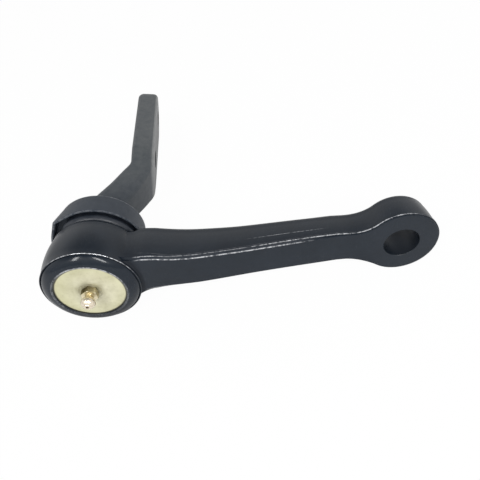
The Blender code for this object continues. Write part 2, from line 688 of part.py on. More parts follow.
def build_dust_seal(carrier, rubber):
    """Rubber ring squeezed between the housing's back and the flange's floor, inside the skirt."""
    front = HOUSING_DEPTH + SEAT_GAP
    back = flange_floor - SEAT_GAP
    inner = stud_radius + RUNNING_GAP
    waist = axial(front, back, 0.56)
    waist_radius = seal_radius - SEAL_WAIST
    bulge_middle = axial(front, waist, 0.5)
    lip_middle = axial(waist, back, 0.5)
    bulge = arc((seal_radius - SEAL_BULGE, bulge_middle), (SEAL_BULGE, bulge_middle - front), -90, 58, 7)
    lip = arc((waist_radius - SEAL_LIP_BULGE, lip_middle), (SEAL_LIP_BULGE, back - lip_middle), -20, 90, 5)
    profile = [(inner, front), *bulge, *lip, (inner, back)]
    add_object("dust_seal", turned_shape(profile, LARGE_STEPS, ring=True), carrier, rubber)


def add_carrier(name, parent=None, location=(0, 0, 0), turn=0.0):
    carrier = bpy.data.objects.new(name, None)
    carrier.parent = parent
    carrier.location = location
    carrier.rotation_euler = (0, turn, 0)
    bpy.context.scene.collection.objects.link(carrier)
    return carrier


def main():
    for old in list(bpy.data.objects):
        bpy.data.objects.remove(old)
    materials = {
        "paint": make_material("black_paint", (0.012, 0.014, 0.019), 0.32, 0.0),
        "bracket_paint": make_material("bracket_paint", (0.016, 0.018, 0.023), 0.42, 0.0),
        "zinc": make_material("yellow_zinc", (0.66, 0.65, 0.46), 0.45, 0.6),
        "brass": make_material("brass", (0.78, 0.60, 0.30), 0.3, 1.0),
        "rubber": make_material("seal_rubber", (0.02, 0.02, 0.022), 0.7, 0.0),
        "steel": make_material("ground_steel", (0.55, 0.55, 0.56), 0.3, 1.0),
        "spring": make_material("spring_steel", (0.35, 0.36, 0.38), 0.35, 1.0),
        "bronze": make_material("sintered_bronze", (0.50, 0.36, 0.20), 0.5, 1.0),
    }

    # The arm dips until its eye and the flange's skirt touch the same floor.
    eye_reach = EYE_RADIUS + FLASH_HEIGHT
    arm_dip = math.asin((flange_front_radius - eye_reach) / ARM_LENGTH)
    eye_x = ARM_LENGTH * math.cos(arm_dip)
    middle_x = (eye_x + eye_reach - flange_front_radius) / 2
    end_reach = STRAP_HALF_WIDTH * math.cos(STRAP_LEAN)
    end_reach += (STRAP_THICKNESS / 2 - STRAP_END_ROUND) * math.sin(STRAP_LEAN)
    middle_y = (OUTER_BOLT_DEPTH + end_reach - NIPPLE_FRONT) / 2
    layout = add_carrier("layout", None, (-middle_x, -middle_y, flange_front_radius))
    arm_carrier = add_carrier("arm_carrier", layout, turn=arm_dip)
    bracket_carrier = add_carrier("bracket_carrier", layout, turn=arm_dip + BRACKET_SWING)

    build_arm(arm_carrier, materials["paint"])
    build_bracket(bracket_carrier, materials["bracket_paint"])
    build_bearing(arm_carrier, bracket_carrier, materials)
    build_cap(arm_carrier, materials["zinc"])
    build_grease_fitting(arm_carrier, materials)
    build_dust_seal(arm_carrier, materials["rubber"])


main()
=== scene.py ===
# %% [markdown]
# # A forged idler arm, dressed for the camera
#
# An idler arm holds up one end of a car's steering linkage. Its eye takes the linkage, its housing turns on
# a stud, and the stud is one piece with a bracket that two bolts hold to the frame. The solids come from the
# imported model. This notebook gives them rounder outlines, paint, plating, light and a camera. Each cell makes
# one thing, and says what it made.

# %% Load the solids
import json
import math

import bmesh
import bpy
from mathutils import Matrix, Vector


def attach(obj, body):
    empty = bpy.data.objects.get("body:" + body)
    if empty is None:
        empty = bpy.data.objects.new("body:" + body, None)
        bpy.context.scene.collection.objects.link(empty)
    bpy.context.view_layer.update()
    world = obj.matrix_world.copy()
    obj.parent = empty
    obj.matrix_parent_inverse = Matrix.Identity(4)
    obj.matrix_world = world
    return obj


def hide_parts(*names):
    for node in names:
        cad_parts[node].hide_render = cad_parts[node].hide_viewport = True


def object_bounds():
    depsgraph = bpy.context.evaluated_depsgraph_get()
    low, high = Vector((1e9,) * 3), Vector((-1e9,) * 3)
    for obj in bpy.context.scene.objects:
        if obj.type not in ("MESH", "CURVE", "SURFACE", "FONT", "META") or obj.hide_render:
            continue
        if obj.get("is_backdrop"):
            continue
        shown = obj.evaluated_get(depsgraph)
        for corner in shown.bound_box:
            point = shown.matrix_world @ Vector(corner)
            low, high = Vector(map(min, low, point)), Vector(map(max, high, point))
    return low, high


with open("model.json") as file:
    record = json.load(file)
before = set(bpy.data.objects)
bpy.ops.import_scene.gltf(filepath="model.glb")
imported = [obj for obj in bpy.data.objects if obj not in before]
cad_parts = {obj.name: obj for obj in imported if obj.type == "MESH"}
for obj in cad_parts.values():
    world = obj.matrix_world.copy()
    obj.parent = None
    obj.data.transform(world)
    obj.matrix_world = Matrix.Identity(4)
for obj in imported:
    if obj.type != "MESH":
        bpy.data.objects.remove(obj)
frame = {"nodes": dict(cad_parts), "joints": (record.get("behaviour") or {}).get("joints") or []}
cad_low, cad_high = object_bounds()
print("solids:", ", ".join(sorted(frame["nodes"])))

# %% [markdown]
# ## Two frames to build in
#
# The arm dips a little, so that its eye rests on the floor, and the bracket is turned further round the same
# pivot. Both are far easier to describe along their own axes: +Y back along the pivot from the cap's face, and
# +X along the arm or square to the strap. So each gets a matrix, and every mesh below is built in one of the
# two.

# %% Place the arm's frame and the bracket's
MM = 0.001
NIPPLE_REACH = 10.5 * MM  # cap face to the tip of the grease fitting
ARM_LENGTH = 165.1 * MM  # pivot to the middle of the eye
SKIRT_RADIUS = 27.1 * MM
EYE_RADIUS = 19.0 * MM
FLASH_HEIGHT = 0.5 * MM
ARM_DIP = math.asin((SKIRT_RADIUS - EYE_RADIUS - FLASH_HEIGHT) / ARM_LENGTH)
BRACKET_SWING = math.radians(12.86)

pivot = Vector(frame["joints"][0]["pos_m"])
pivot.y = cad_low.y + NIPPLE_REACH
arm_frame = Matrix.Translation(pivot) @ Matrix.Rotation(ARM_DIP, 4, "Y")
bracket_frame = Matrix.Translation(pivot) @ Matrix.Rotation(ARM_DIP + BRACKET_SWING, 4, "Y")
print(f"pivot at {pivot * 1000} mm, arm dips {math.degrees(ARM_DIP):.2f} degrees")

# %% [markdown]
# ## Shares, soft steps and arcs
#
# A forging has hardly a straight line in it: one size runs softly into the next along its length. Points
# could be pushed about by hand until it looks right, but then no size can be changed afterwards. Here every
# point comes from a rule, and most rules need no more than these four.

# %% Write the four rules


def between(start, end, share):
    return start + (end - start) * share


def ease(low, high, value):
    """0 below low, 1 above high, and a soft slope between them."""
    share = min(max((value - low) / (high - low), 0.0), 1.0)
    return share * share * (3 - 2 * share)


def hump(rise, fall, value):
    """0, then 1, then 0 again. The rise and the fall are each a stretch, from where to where."""
    return ease(*rise, value) * (1 - ease(*fall, value))


def arc(centre, radii, start, end, steps):
    """Points of an elliptical arc, with its angles in degrees from the first axis."""
    angles = [math.radians(between(start, end, step / steps)) for step in range(steps + 1)]
    return [(centre[0] + radii[0] * math.cos(a), centre[1] + radii[1] * math.sin(a)) for a in angles]


print(f"a soft step is {ease(0, 1, 0.25):.2f} a quarter of the way up")

# %% [markdown]
# ## Rings, and forms turned from them
#
# The housing, the flange, the cap, the fitting and the seal are all turned. Each is a half outline spun about
# the pivot, so it is a row of rings with faces between them. Blender's Screw modifier could do that too, but
# rings made here also serve for drilled holes and for layers, and a corner on the axis stays a single point.

# %% Bridge rings and turn a profile


def circle(steps):
    """Cosine and sine of each step, once round."""
    angles = [math.tau * step / steps for step in range(steps)]
    return [(math.cos(angle), math.sin(angle)) for angle in angles]


def bridge(shape, rings, closed=False):
    """Adds the faces between neighbouring rings. A ring of one point gives a fan of triangles."""
    pairs = list(zip(rings, rings[1:]))
    if closed:
        pairs.append((rings[-1], rings[0]))
    steps = max(len(ring) for ring in rings)
    for near, far in pairs:
        for i in range(steps):
            j = (i + 1) % steps
            corners = (near[i % len(near)], near[j % len(near)], far[j % len(far)], far[i % len(far)])
            shape.faces.new(dict.fromkeys(corners))


def turned(profile, steps, closed=False):
    """A bmesh spun about the Y axis from (radius, depth) corners."""
    shape = bmesh.new()
    rings = []
    for radius, depth in profile:
        spokes = circle(steps) if radius else [(0, 0)]
        rings.append([shape.verts.new((radius * c, depth, radius * s)) for c, s in spokes])
    bridge(shape, rings, closed)
    return shape


disc = turned([(0, 0), (1, 0)], 8)
print("a disc of eight steps has", len(disc.faces), "faces")
disc.free()

# %% [markdown]
# ## Layers, as in a forging die
#
# A forging has one outline and a section that changes along it. A die is cut the same way: the outline at the
# parting line, then drawn in layer by layer towards both faces. So half an outline is mirrored, and repeated
# at each depth that the section asks for, moved inwards along its normals.

# %% Stack an outline in layers


def forged(outline, layers, place):
    """A bmesh from half an outline of (x, z, normal x, normal z), mirrored, and layers(x) of (depth, inset)."""
    shape = bmesh.new()
    mirrored = [(x, -z, nx, -nz) for x, z, nx, nz in reversed(outline[:-1])]
    whole = outline + mirrored
    columns = [layers(x) for x, z, nx, nz in whole]
    rings = []
    for level in range(len(columns[0])):
        ring = []
        for (x, z, nx, nz), column in zip(whole, columns):
            depth, inset = column[level]
            ring.append(shape.verts.new(place(x - nx * inset, depth, z - nz * inset)))
        rings.append(ring)
    bridge(shape, rings)
    last = len(whole) - 1
    for ring in (rings[0], rings[-1]):
        for i in range(len(outline) - 1):
            shape.faces.new(dict.fromkeys((ring[i], ring[i + 1], ring[last - i - 1], ring[last - i])))
    return shape


wedge = forged([(-1, 1, 0, 1), (1, 0, 1, 0)], lambda x: [(0, 0), (1, 0)], lambda *spot: spot)
print("a wedge of two layers has", len(wedge.faces), "faces")
wedge.free()

# %% [markdown]
# ## Holes, and pieces from several forms
#
# Where two forms meet, an exact Boolean joins or cuts them. Its result is stored in the mesh, so that no
# modifier is left to slow a render. A hole's cutter reaches well past both faces, because two faces that only
# just touch are the one thing that a Boolean handles badly.

# %% Make a cutter for a round hole


def drill(radius, start, end, chamfer=0.0, steps=72):
    """A cutter from start to end that widens by the chamfer at both faces, and goes on past them."""
    along = (end - start).normalized()
    side = along.orthogonal().normalized()
    up = along.cross(side)
    wide = radius + chamfer
    stations = [(start - along * radius, wide), (end + along * radius, wide)]
    if chamfer:
        inner = (start + along * chamfer, end - along * chamfer)
        stations[1:1] = [(start, wide), (inner[0], radius), (inner[1], radius), (end, wide)]
    shape = bmesh.new()
    rings = []
    for centre, size in stations:
        rings.append([shape.verts.new(centre + size * (side * c + up * s)) for c, s in circle(steps)])
    bridge(shape, rings)
    shape.faces.new(rings[0])
    shape.faces.new(rings[-1])
    return shape


cutter = drill(1.0, Vector((0, 0, 0)), Vector((0, 5, 0)), chamfer=0.1)
print("a chamfered cutter has", len(cutter.verts), "points")
cutter.free()

# %% Turn a bmesh into a piece, and combine pieces


def make_piece(name, shape, carrier, sharp=32):
    """An object that stands in one of the two frames, smooth except where faces meet at more than sharp degrees."""
    bmesh.ops.recalc_face_normals(shape, faces=shape.faces)
    mesh = bpy.data.meshes.new(name)
    shape.to_mesh(mesh)
    shape.free()
    mesh.shade_smooth()
    mesh.set_sharp_from_angle(angle=math.radians(sharp))
    piece = bpy.data.objects.new(name, mesh)
    piece.matrix_world = carrier
    bpy.context.scene.collection.objects.link(piece)
    return piece


def combine(piece, steps, sharp=32):
    """Applies (operation, helper object) steps to a piece and removes the helpers."""
    for operation, helper in steps:
        boolean = piece.modifiers.new(operation, "BOOLEAN")
        boolean.operation = operation
        boolean.object = helper
        bpy.context.view_layer.update()
        graph = bpy.context.evaluated_depsgraph_get()
        result = bpy.data.meshes.new_from_object(piece.evaluated_get(graph))
        piece.modifiers.clear()
        piece.data = result
        bpy.data.objects.remove(helper)
    piece.data.shade_smooth()
    piece.data.set_sharp_from_angle(angle=math.radians(sharp))
    return piece


print("ready to make pieces")

# %% Note a piece's wear and painted light and shade, and hand it over


def note_point_values(piece, name, rule):
    """Stores rule(point) on every point of the piece, for its paint to read."""
    values = piece.data.attributes.new(name, "FLOAT", "POINT")
    for point, value in zip(piece.data.vertices, values.data):
        value.value = rule(point.co)


def finish_piece(piece, body, nodes, material):
    """Bakes the piece's place into its mesh, and says what it rides on and stands for."""
    piece.data.transform(piece.matrix_world)
    piece.matrix_world = Matrix.Identity(4)
    piece.data.materials.clear()
    piece.data.materials.append(material)
    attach(piece, body)
    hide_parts(*nodes)
    print(f"{piece.name}: {len(piece.data.polygons)} faces, stands for {', '.join(nodes)}")


print("ready to hand them over")

# %% [markdown]
# ## Small tools for materials
#
# A material here is a sum: paint, plus a little mottling, plus bright metal where an edge has been rubbed or a
# highlight is painted. It reads best when the sum is written as one. Signal wraps a socket so that plain
# arithmetic on it adds Math nodes. Bench wraps a node tree, a material's or the world's, and its one method adds
# every other kind of node.

# %% Wrap a socket


class Signal:
    """One value that varies over a surface."""

    def __init__(self, bench, socket):
        self.bench = bench
        self.socket = socket

    def _math(self, operation, first, second):
        return self.bench.node("ShaderNodeMath", {"operation": operation}, {0: first, 1: second})

    def __add__(self, other):
        return self._math("ADD", self, other)

    def __radd__(self, other):
        return self._math("ADD", other, self)

    def __sub__(self, other):
        return self._math("SUBTRACT", self, other)

    def __rsub__(self, other):
        return self._math("SUBTRACT", other, self)

    def __mul__(self, other):
        return self._math("MULTIPLY", self, other)

    def __rmul__(self, other):
        return self._math("MULTIPLY", other, self)

    def step(self, low, high):
        """0 at low and 1 at high, straight between them and held beyond. Low may be the larger one."""
        return self.bench.node("ShaderNodeMapRange", {"clamp": True}, {0: self, 1: low, 2: high})

    def clamped(self):
        return self.step(0, 1)


print("Signal is ready")

# %% Wrap a node tree


class Bench:
    """A node tree that is being built."""

    def __init__(self, tree):
        self.tree = tree

    def node(self, kind, settings, values, output=0):
        """Adds a node. Settings come first, a ramp's stops among them; then each socket gets a value or a link."""
        made = self.tree.nodes.new(kind)
        for name, value in settings.items():
            if name == "stops":
                self._set_stops(made.color_ramp, value)
            else:
                setattr(made, name, value)
        for key, value in values.items():
            self.feed(made.inputs[key], value)
        return Signal(self, made.outputs[output])

    def _set_stops(self, ramp, stops):
        while len(ramp.elements) < len(stops):
            ramp.elements.new(1.0)
        for element, (position, colour) in zip(ramp.elements, stops):
            element.position = position
            element.color = (*colour, 1)

    def feed(self, socket, value):
        if isinstance(value, Signal):
            self.tree.links.new(value.socket, socket)
        elif isinstance(value, tuple) and len(value) == 3 and socket.type == "RGBA":
            socket.default_value = (*value, 1)
        else:
            socket.default_value = value

    def mix(self, share, first, second):
        """Colours are mixed here, because a Math node turns them grey."""
        return self.node("ShaderNodeMix", {"data_type": "RGBA"}, {0: share, 6: first, 7: second}, 2)


print("Bench is ready")

# %% [markdown]
# ## A material to mix
#
# All finishes here start from one Principled shader and from the same positions: the place on the object,
# measured from the pivot. Object coordinates give that without any unwrapping, and they go round with the arm
# when it turns. A noise's scale then counts its blotches per metre.

# %% Wrap a material


class Paint(Bench):
    """A material being mixed: its nodes, its shader, and the positions that patterns start from."""

    SOCKETS = {"base_color": "Base Color", "specular": "Specular IOR Level"}

    def __init__(self, name):
        self.material = bpy.data.materials.new(name)
        self.material.use_nodes = True
        super().__init__(self.material.node_tree)
        self.shader = self.tree.nodes["Principled BSDF"]
        spot = self.node("ShaderNodeTexCoord", {}, {}, "Object")
        self.place = self.node("ShaderNodeVectorMath", {"operation": "SUBTRACT"}, {0: spot, 1: tuple(pivot)})

    def set(self, **values):
        """Feeds the shader's sockets: base_color=..., roughness=..., and so on."""
        for key, value in values.items():
            self.feed(self.shader.inputs[self.SOCKETS.get(key, key.capitalize())], value)

    def noise(self, scale, detail=2.0, roughness=0.5):
        values = {"Vector": self.place, "Scale": scale, "Detail": detail, "Roughness": roughness}
        return self.node("ShaderNodeTexNoise", {}, values)

    def attribute(self, name):
        """A value that the mesh carries point by point; 0 where it has none."""
        return self.node("ShaderNodeAttribute", {"attribute_name": name}, {}, "Fac")

    def axis(self, letter):
        return self.node("ShaderNodeSeparateXYZ", {}, {0: self.place}, letter)

    def off_axis(self):
        """Distance from the pivot's axis."""
        flat = self.node("ShaderNodeMapping", {}, {"Vector": self.place, "Scale": (1, 0, 1)})
        return self.node("ShaderNodeVectorMath", {"operation": "LENGTH"}, {0: flat}, "Value")

    def bump(self, height, strength, distance):
        return self.node("ShaderNodeBump", {}, {"Height": height, "Strength": strength, "Distance": distance})


print("Paint is ready")

# %% [markdown]
# ## Forging paint
#
# The forgings are dipped in thin blue-black paint over a shot-blasted skin. It is satin rather than glossy, so
# the studio shows in it as soft greys. Up close there is a fine grain from the blasting under the paint, a
# slow mottling where it dried unevenly, and a chalky film on the strap. Where a trimmed edge stands proud, the
# paint has worn thin, and the same pale metal is also painted on as highlights along those edges. Which
# points those are is known from the shape, so each mesh carries a value per point, "rubbed", and three
# more: "shaded" for painted shade, "glossy", and "dusty" for dust with a painted sheen. The paint
# reads all four.

# %% Mix the forging paint
RUBBED_METAL_AND_GLINT = (0.72, 0.73, 0.76)
CHALKY_FILM = (0.084, 0.091, 0.094)
DUST_AND_SHEEN_GREY = (0.24, 0.243, 0.243)
DEEP_SHADE = (0.002, 0.004, 0.008)
FILM_GROWS = (45 * MM, 105 * MM)  # the stretch behind the cap's face over which the film thickens


def forging_paint(name, colour, roughness, grain, haze=0.0):
    """Haze is the pale chalky film that grows towards the strap's end."""
    paint = Paint(name)
    rubbed, shaded, glossy, dusty = (paint.attribute(mark_name) for mark_name in ("rubbed", "shaded", "glossy", "dusty"))
    slow = paint.noise(55, 3.0).step(0.3, 0.7)
    mottled = paint.noise(210, 5.0, 0.7).step(0.3, 0.7)
    flaked = paint.noise(560, 4.0, 0.8).step(0.42, 0.56)
    fine = paint.noise(900, 4.0, 0.6)
    specks = paint.noise(2600, 2.0).step(0.70, 0.76)

    lighter = tuple(channel * 1.5 + 0.003 for channel in colour)
    base = paint.mix(slow * 0.5 + mottled * 0.5, colour, lighter)
    if haze:
        film = (paint.axis("Y").step(*FILM_GROWS) * 0.75 + 0.25) * haze
        film = (film * (0.5 + mottled * 0.45 + fine * 0.3)).clamped()
        base = paint.mix(film, base, CHALKY_FILM)
        # dust and a painted sheen make the strap's outer face paler
        base = paint.mix(dusty * (0.6 + mottled * 0.3), base, DUST_AND_SHEEN_GREY)
    # worn paint and painted highlights: pale metal on the marked edges
    bare_and_glint = (rubbed * (flaked * 0.92 + 0.08)).clamped()
    base = paint.mix(specks * 0.12, base, RUBBED_METAL_AND_GLINT)
    base = paint.mix(bare_and_glint, base, RUBBED_METAL_AND_GLINT)
    # painted shade: marked points are darkened towards DEEP_SHADE and dulled
    shade, dull = (0.9, 0.55) if haze else (0.75, 0.3)
    base = paint.mix(shaded * shade, base, DEEP_SHADE)
    rough = roughness + slow * 0.05 + fine * 0.08 + shaded * dull - glossy * 0.14

    paint.set(base_color=base, specular=0.31)
    paint.set(roughness=rough.clamped(), metallic=(bare_and_glint * 0.6).clamped())
    blasted = fine * 0.7 + mottled * 0.5
    paint.set(normal=paint.bump(blasted * (1 - glossy * 0.8), 0.35, grain))
    return paint.material


arm_paint = forging_paint("arm_paint", (0.004, 0.0075, 0.013), 0.25, 0.06 * MM)
bracket_paint = forging_paint("bracket_paint", (0.006, 0.012, 0.023), 0.40, 0.10 * MM, haze=0.9)
print("mixed", arm_paint.name, "and", bracket_paint.name)

# %% [markdown]
# ## Plated cap
#
# The cap is a steel stamping with a pale yellow zinc plating: matt, slightly cloudy, with a faint greenish
# cast towards its rim and a few darker freckles. Round the fitting old grease darkens it, with a painted shadow
# under the fitting, and a painted shadow darkens the corner under the rolled lip. Most of that is round, so it
# follows the distance from the pivot; the tint also turns greener and darker towards the left side.

# %% Mix the zinc plating
ZINC_DULL = (0.44, 0.42, 0.275)
ZINC_BRIGHT = (0.69, 0.665, 0.515)
ZINC_GREEN = (0.52, 0.51, 0.29)
ZINC_FRECKLE = (0.36, 0.33, 0.20)
GREASE_AND_SHADOW = (0.20, 0.18, 0.10)
LIP_SHADOW = (0.02, 0.02, 0.018)
GREEN_RING = (9 * MM, 19 * MM)
# the tint also grows greener and darker towards the left side
GREEN_SIDE = (2 * MM, -18 * MM)
GREASE_AND_SHADOW_RING = (8.5 * MM, 4.5 * MM)
LIP_SHADOW_RING = (18.0 * MM, 18.5 * MM)


def cap_plating():
    paint = Paint("cap_plating")
    out = paint.off_axis()
    cloudy = paint.noise(90, 4.0, 0.6).step(0.32, 0.68)
    freckles = paint.noise(620, 3.0).step(0.60, 0.70)
    smeared = paint.noise(500, 3.0).step(0.3, 0.6) * 0.6 + 0.4
    green = out.step(*GREEN_RING) * (0.35 + cloudy * 0.4) + paint.axis("X").step(*GREEN_SIDE) * 0.3
    grease_and_shadow = out.step(*GREASE_AND_SHADOW_RING) * smeared
    base = paint.mix(cloudy, ZINC_DULL, ZINC_BRIGHT)
    base = paint.mix(green.clamped() * 0.75, base, ZINC_GREEN)
    base = paint.mix(freckles * 0.3, base, ZINC_FRECKLE)
    # old grease and a painted shadow round the fitting
    base = paint.mix((grease_and_shadow * 0.75).clamped(), base, GREASE_AND_SHADOW)
    # painted shadow in the corner under the rolled lip
    base = paint.mix(out.step(*LIP_SHADOW_RING) * 0.9, base, LIP_SHADOW)
    paint.set(base_color=base, metallic=0.25, roughness=(0.45 + cloudy * 0.12).clamped())
    paint.set(normal=paint.bump(paint.noise(1500, 3.0), 0.3, 0.03 * MM))
    return paint.material


zinc = cap_plating()
print("mixed", zinc.name)

# %% [markdown]
# ## Brass fitting
#
# The grease fitting is plated brass, warm at the hexagon and almost white at the nipple, where the plating is
# thickest. The hexagon's flats are dark with old grease, and painted shade darkens the waist and the hexagon's
# left side. The tint follows the distance in front of the cap's face, so it stays right when the arm turns; the
# shade on the flats also follows the side.

# %% Mix the brass
BRASS_WARM = (0.78, 0.70, 0.50)
BRASS_PALE = (0.86, 0.78, 0.64)
BRASS_GREASE_AND_SHADE = (0.11, 0.085, 0.035)
BRASS_STAIN = (0.62, 0.50, 0.34)
HEX_HEIGHT = 3.4 * MM
NIPPLE_STARTS = (4.5 * MM, 7.5 * MM)
WAIST_RISE, WAIST_FALL = (HEX_HEIGHT, 3.8 * MM), (5.2 * MM, 4.4 * MM)
FLATS_END = (HEX_HEIGHT, 3.1 * MM)
FLATS_SHADE_SIDE = (3.2 * MM, -0.4 * MM)  # painted shade, from the hexagon's right side to its left


def fitting_brass():
    paint = Paint("fitting_brass")
    forward = 0 - paint.axis("Y")
    nipple = forward.step(*NIPPLE_STARTS)
    waist = forward.step(*WAIST_RISE) * forward.step(*WAIST_FALL)
    flats = forward.step(*FLATS_END)
    stain = paint.noise(700, 3.0).step(0.4, 0.6)
    # painted shade on the hexagon's left side and in the waist, over old grease on all the flats
    dark = flats * (paint.axis("X").step(*FLATS_SHADE_SIDE) * 0.55 + stain * 0.1 + 0.35) + waist * 0.6
    base = paint.mix(nipple, BRASS_WARM, BRASS_PALE)
    base = paint.mix(dark.clamped(), base, BRASS_GREASE_AND_SHADE)
    base = paint.mix(stain * nipple * 0.5, base, BRASS_STAIN)
    paint.set(base_color=base, metallic=1.0, roughness=(0.32 - nipple * 0.04 + stain * 0.1).clamped())
    return paint.material


brass = fitting_brass()
print("mixed", brass.name)

# %% [markdown]
# ## Rubber and the hidden bearing metals
#
# The dust seal is a squeezed ring of dark rubber, dull and faintly dusty. The bearing pieces sit behind the
# cap, where nothing shows them, but the model can be taken apart. Their ground steel, spring steel and sintered
# bronze get a fine turned grain: a noise that changes only with the distance from the axis and along it, so
# its streaks run round the pivot.

# %% Mix rubber and bearing metals
GROOVES_PER_METRE = 9000


def seal_rubber():
    paint = Paint("seal_rubber")
    dust = paint.noise(260, 4.0).step(0.4, 0.75)
    paint.set(base_color=paint.mix(dust * 0.5, (0.012, 0.016, 0.024), (0.035, 0.040, 0.050)))
    paint.set(roughness=(0.38 + dust * 0.15).clamped())
    paint.set(normal=paint.bump(paint.noise(1200, 3.0), 0.3, 0.04 * MM))
    return paint.material


def turned_metal(name, colour, roughness, pores=0.0):
    """Pores are the small dark pits of sintered metal."""
    paint = Paint(name)
    spot = {0: paint.off_axis() * GROOVES_PER_METRE, 1: paint.axis("Y") * GROOVES_PER_METRE}
    line = paint.node("ShaderNodeCombineXYZ", {}, spot)
    grooves = paint.node("ShaderNodeTexNoise", {"noise_dimensions": "2D"}, {"Vector": line, "Scale": 1.0})
    pits = paint.noise(2200, 2.0).step(0.6, 0.7) * pores
    darker = tuple(channel * 0.45 for channel in colour)
    paint.set(base_color=paint.mix(pits, colour, darker), metallic=1.0)
    paint.set(roughness=(roughness + grooves * 0.15 + pits * 0.3).clamped())
    return paint.material


rubber = seal_rubber()
ground_steel = turned_metal("ground_steel", (0.56, 0.56, 0.57), 0.22)
spring_steel = turned_metal("spring_steel", (0.33, 0.34, 0.37), 0.34)
bronze = turned_metal("sintered_bronze", (0.50, 0.35, 0.19), 0.42, pores=0.8)
print("mixed", rubber.name, ground_steel.name, spring_steel.name, bronze.name)

# %% [markdown]
# ## The arm's outline
#
# Seen from the front the arm is a housing, a bar that tapers, and an eye. The bar's edge is a straight line
# with a fillet at both ends. Each fillet touches the line and a circle on the middle line, which fixes its
# centre without any guessing.

# %% Work out the arm's outline
HOUSING_RADIUS = 26.4 * MM
ROOT_HALF_HEIGHT = 12.1 * MM  # half the bar's height where it leaves the housing
NECK_HALF_HEIGHT = 8.7 * MM  # and where it reaches the eye
ROOT_FILLET = 20 * MM
ROOT_BITE = 1.2 * MM  # how far the fillets run into the housing's side
EYE_FILLET = 25 * MM
ROOT_STEPS, BAR_STEPS, NECK_STEPS, EYE_STEPS = 18, 24, 22, 48


def fillet_centre(circle_x, circle_radius, fillet_radius, slope, reach, side):
    """Side is 1 for a fillet beyond the circle, -1 before it. Reach is how far the line passes from the pivot."""
    high = reach + fillet_radius
    rise = high - circle_x * math.sin(slope)
    along = circle_x * math.cos(slope) + side * math.sqrt((circle_radius + fillet_radius) ** 2 - rise**2)
    return (along * math.cos(slope) + high * math.sin(slope), high * math.cos(slope) - along * math.sin(slope))


def arm_outline():
    """Half the outline, from the housing to the eye's tip, as (x, z, normal x, normal z)."""
    neck_x = ARM_LENGTH - EYE_RADIUS
    slope = math.atan2(ROOT_HALF_HEIGHT - NECK_HALF_HEIGHT, neck_x - HOUSING_RADIUS)
    reach = HOUSING_RADIUS * math.sin(slope) + ROOT_HALF_HEIGHT * math.cos(slope)
    root = fillet_centre(0, HOUSING_RADIUS - ROOT_BITE, ROOT_FILLET, slope, reach, 1)
    neck = fillet_centre(ARM_LENGTH, EYE_RADIUS, EYE_FILLET, slope, reach, -1)
    down = -90 - math.degrees(slope)
    root_start = math.degrees(math.atan2(-root[1], -root[0]))
    neck_end = math.degrees(math.atan2(-neck[1], ARM_LENGTH - neck[0]))
    root_spokes = arc((0, 0), (1, 1), root_start, down, ROOT_STEPS)
    neck_spokes = arc((0, 0), (1, 1), down, neck_end, NECK_STEPS)
    points = [(root[0] + ROOT_FILLET * c, root[1] + ROOT_FILLET * s, -c, -s) for c, s in root_spokes]
    far = [(neck[0] + EYE_FILLET * c, neck[1] + EYE_FILLET * s, -c, -s) for c, s in neck_spokes]
    near = points[-1]
    for step in range(1, BAR_STEPS):
        share = step / BAR_STEPS
        points.append((between(near[0], far[0][0], share), between(near[1], far[0][1], share), near[2], near[3]))
    points += far
    eye_spokes = arc((0, 0), (1, 1), 180 + neck_end, 0, EYE_STEPS)[1:-1]
    points += [(ARM_LENGTH + EYE_RADIUS * c, EYE_RADIUS * s, c, s) for c, s in eye_spokes]
    return points + [(ARM_LENGTH + EYE_RADIUS, 0.0, 1.0, 0.0)]


outline = arm_outline()
narrowest = min(z for x, z, *_ in outline if x < ARM_LENGTH - EYE_RADIUS)
print(f"arm outline: {len(outline)} points a side, half height down to {narrowest * 1000:.1f} mm")

# %% [markdown]
# ## The arm's faces, and its flash rib
#
# The bar is deeper at the housing than at the eye, and its back swells a little where it leaves the housing.
# The two halves of the forging die met just behind the front face. The metal squeezed out between them was
# trimmed off, and what is left is a low rib that runs all round, wider at the housing. These are all depths
# that change along the arm, so each is a function of the distance from the pivot.

# %% Work out the depths along the arm
FRONT_AT_ROOT, FRONT_AT_NECK, FRONT_AT_EYE = 4.9 * MM, 6.2 * MM, 3.5 * MM
BACK_AT_ROOT, BACK_AT_NECK, BACK_AT_EYE = 29.8 * MM, 25.4 * MM, 22 * MM
EYE_STEP = (ARM_LENGTH - 1.8 * EYE_RADIUS, ARM_LENGTH - 0.65 * EYE_RADIUS)  # both faces move to the eye's here
ROOT_SWELL = 2.6 * MM
SWELL_STARTS, SWELL_ENDS = (24.2 * MM, 29 * MM), (32 * MM, 85 * MM)
FLASH_SETBACK = 0.9 * MM
FLASH_ROOT_WIDTH, FLASH_WIDTH = 3.0 * MM, 1.1 * MM
FLASH_NARROWS = (26 * MM, 48 * MM)
FACE_FORWARD = 0.6 * MM  # the front face stands this far out along the bar
FACE_INSET = 0.8 * MM  # and its edge this far inside the rib's foot
FACE_RISES, FACE_SETTLES = (28 * MM, 48 * MM), (112 * MM, 140 * MM)


def arm_depths(x):
    """Front face, back face, and how far over to the eye this place is."""
    neck_x = ARM_LENGTH - EYE_RADIUS - EYE_FILLET
    to_neck = ease(2 * HOUSING_RADIUS, neck_x, x)
    to_eye = ease(*EYE_STEP, x)
    along_bar = min(max((x - HOUSING_RADIUS) / (neck_x - HOUSING_RADIUS), 0.0), 1.0)
    face = between(between(FRONT_AT_ROOT, FRONT_AT_NECK, to_neck), FRONT_AT_EYE, to_eye)
    back = between(between(BACK_AT_ROOT, BACK_AT_NECK, along_bar), BACK_AT_EYE, to_eye)
    return face, back + ROOT_SWELL * hump(SWELL_STARTS, SWELL_ENDS, x), to_eye


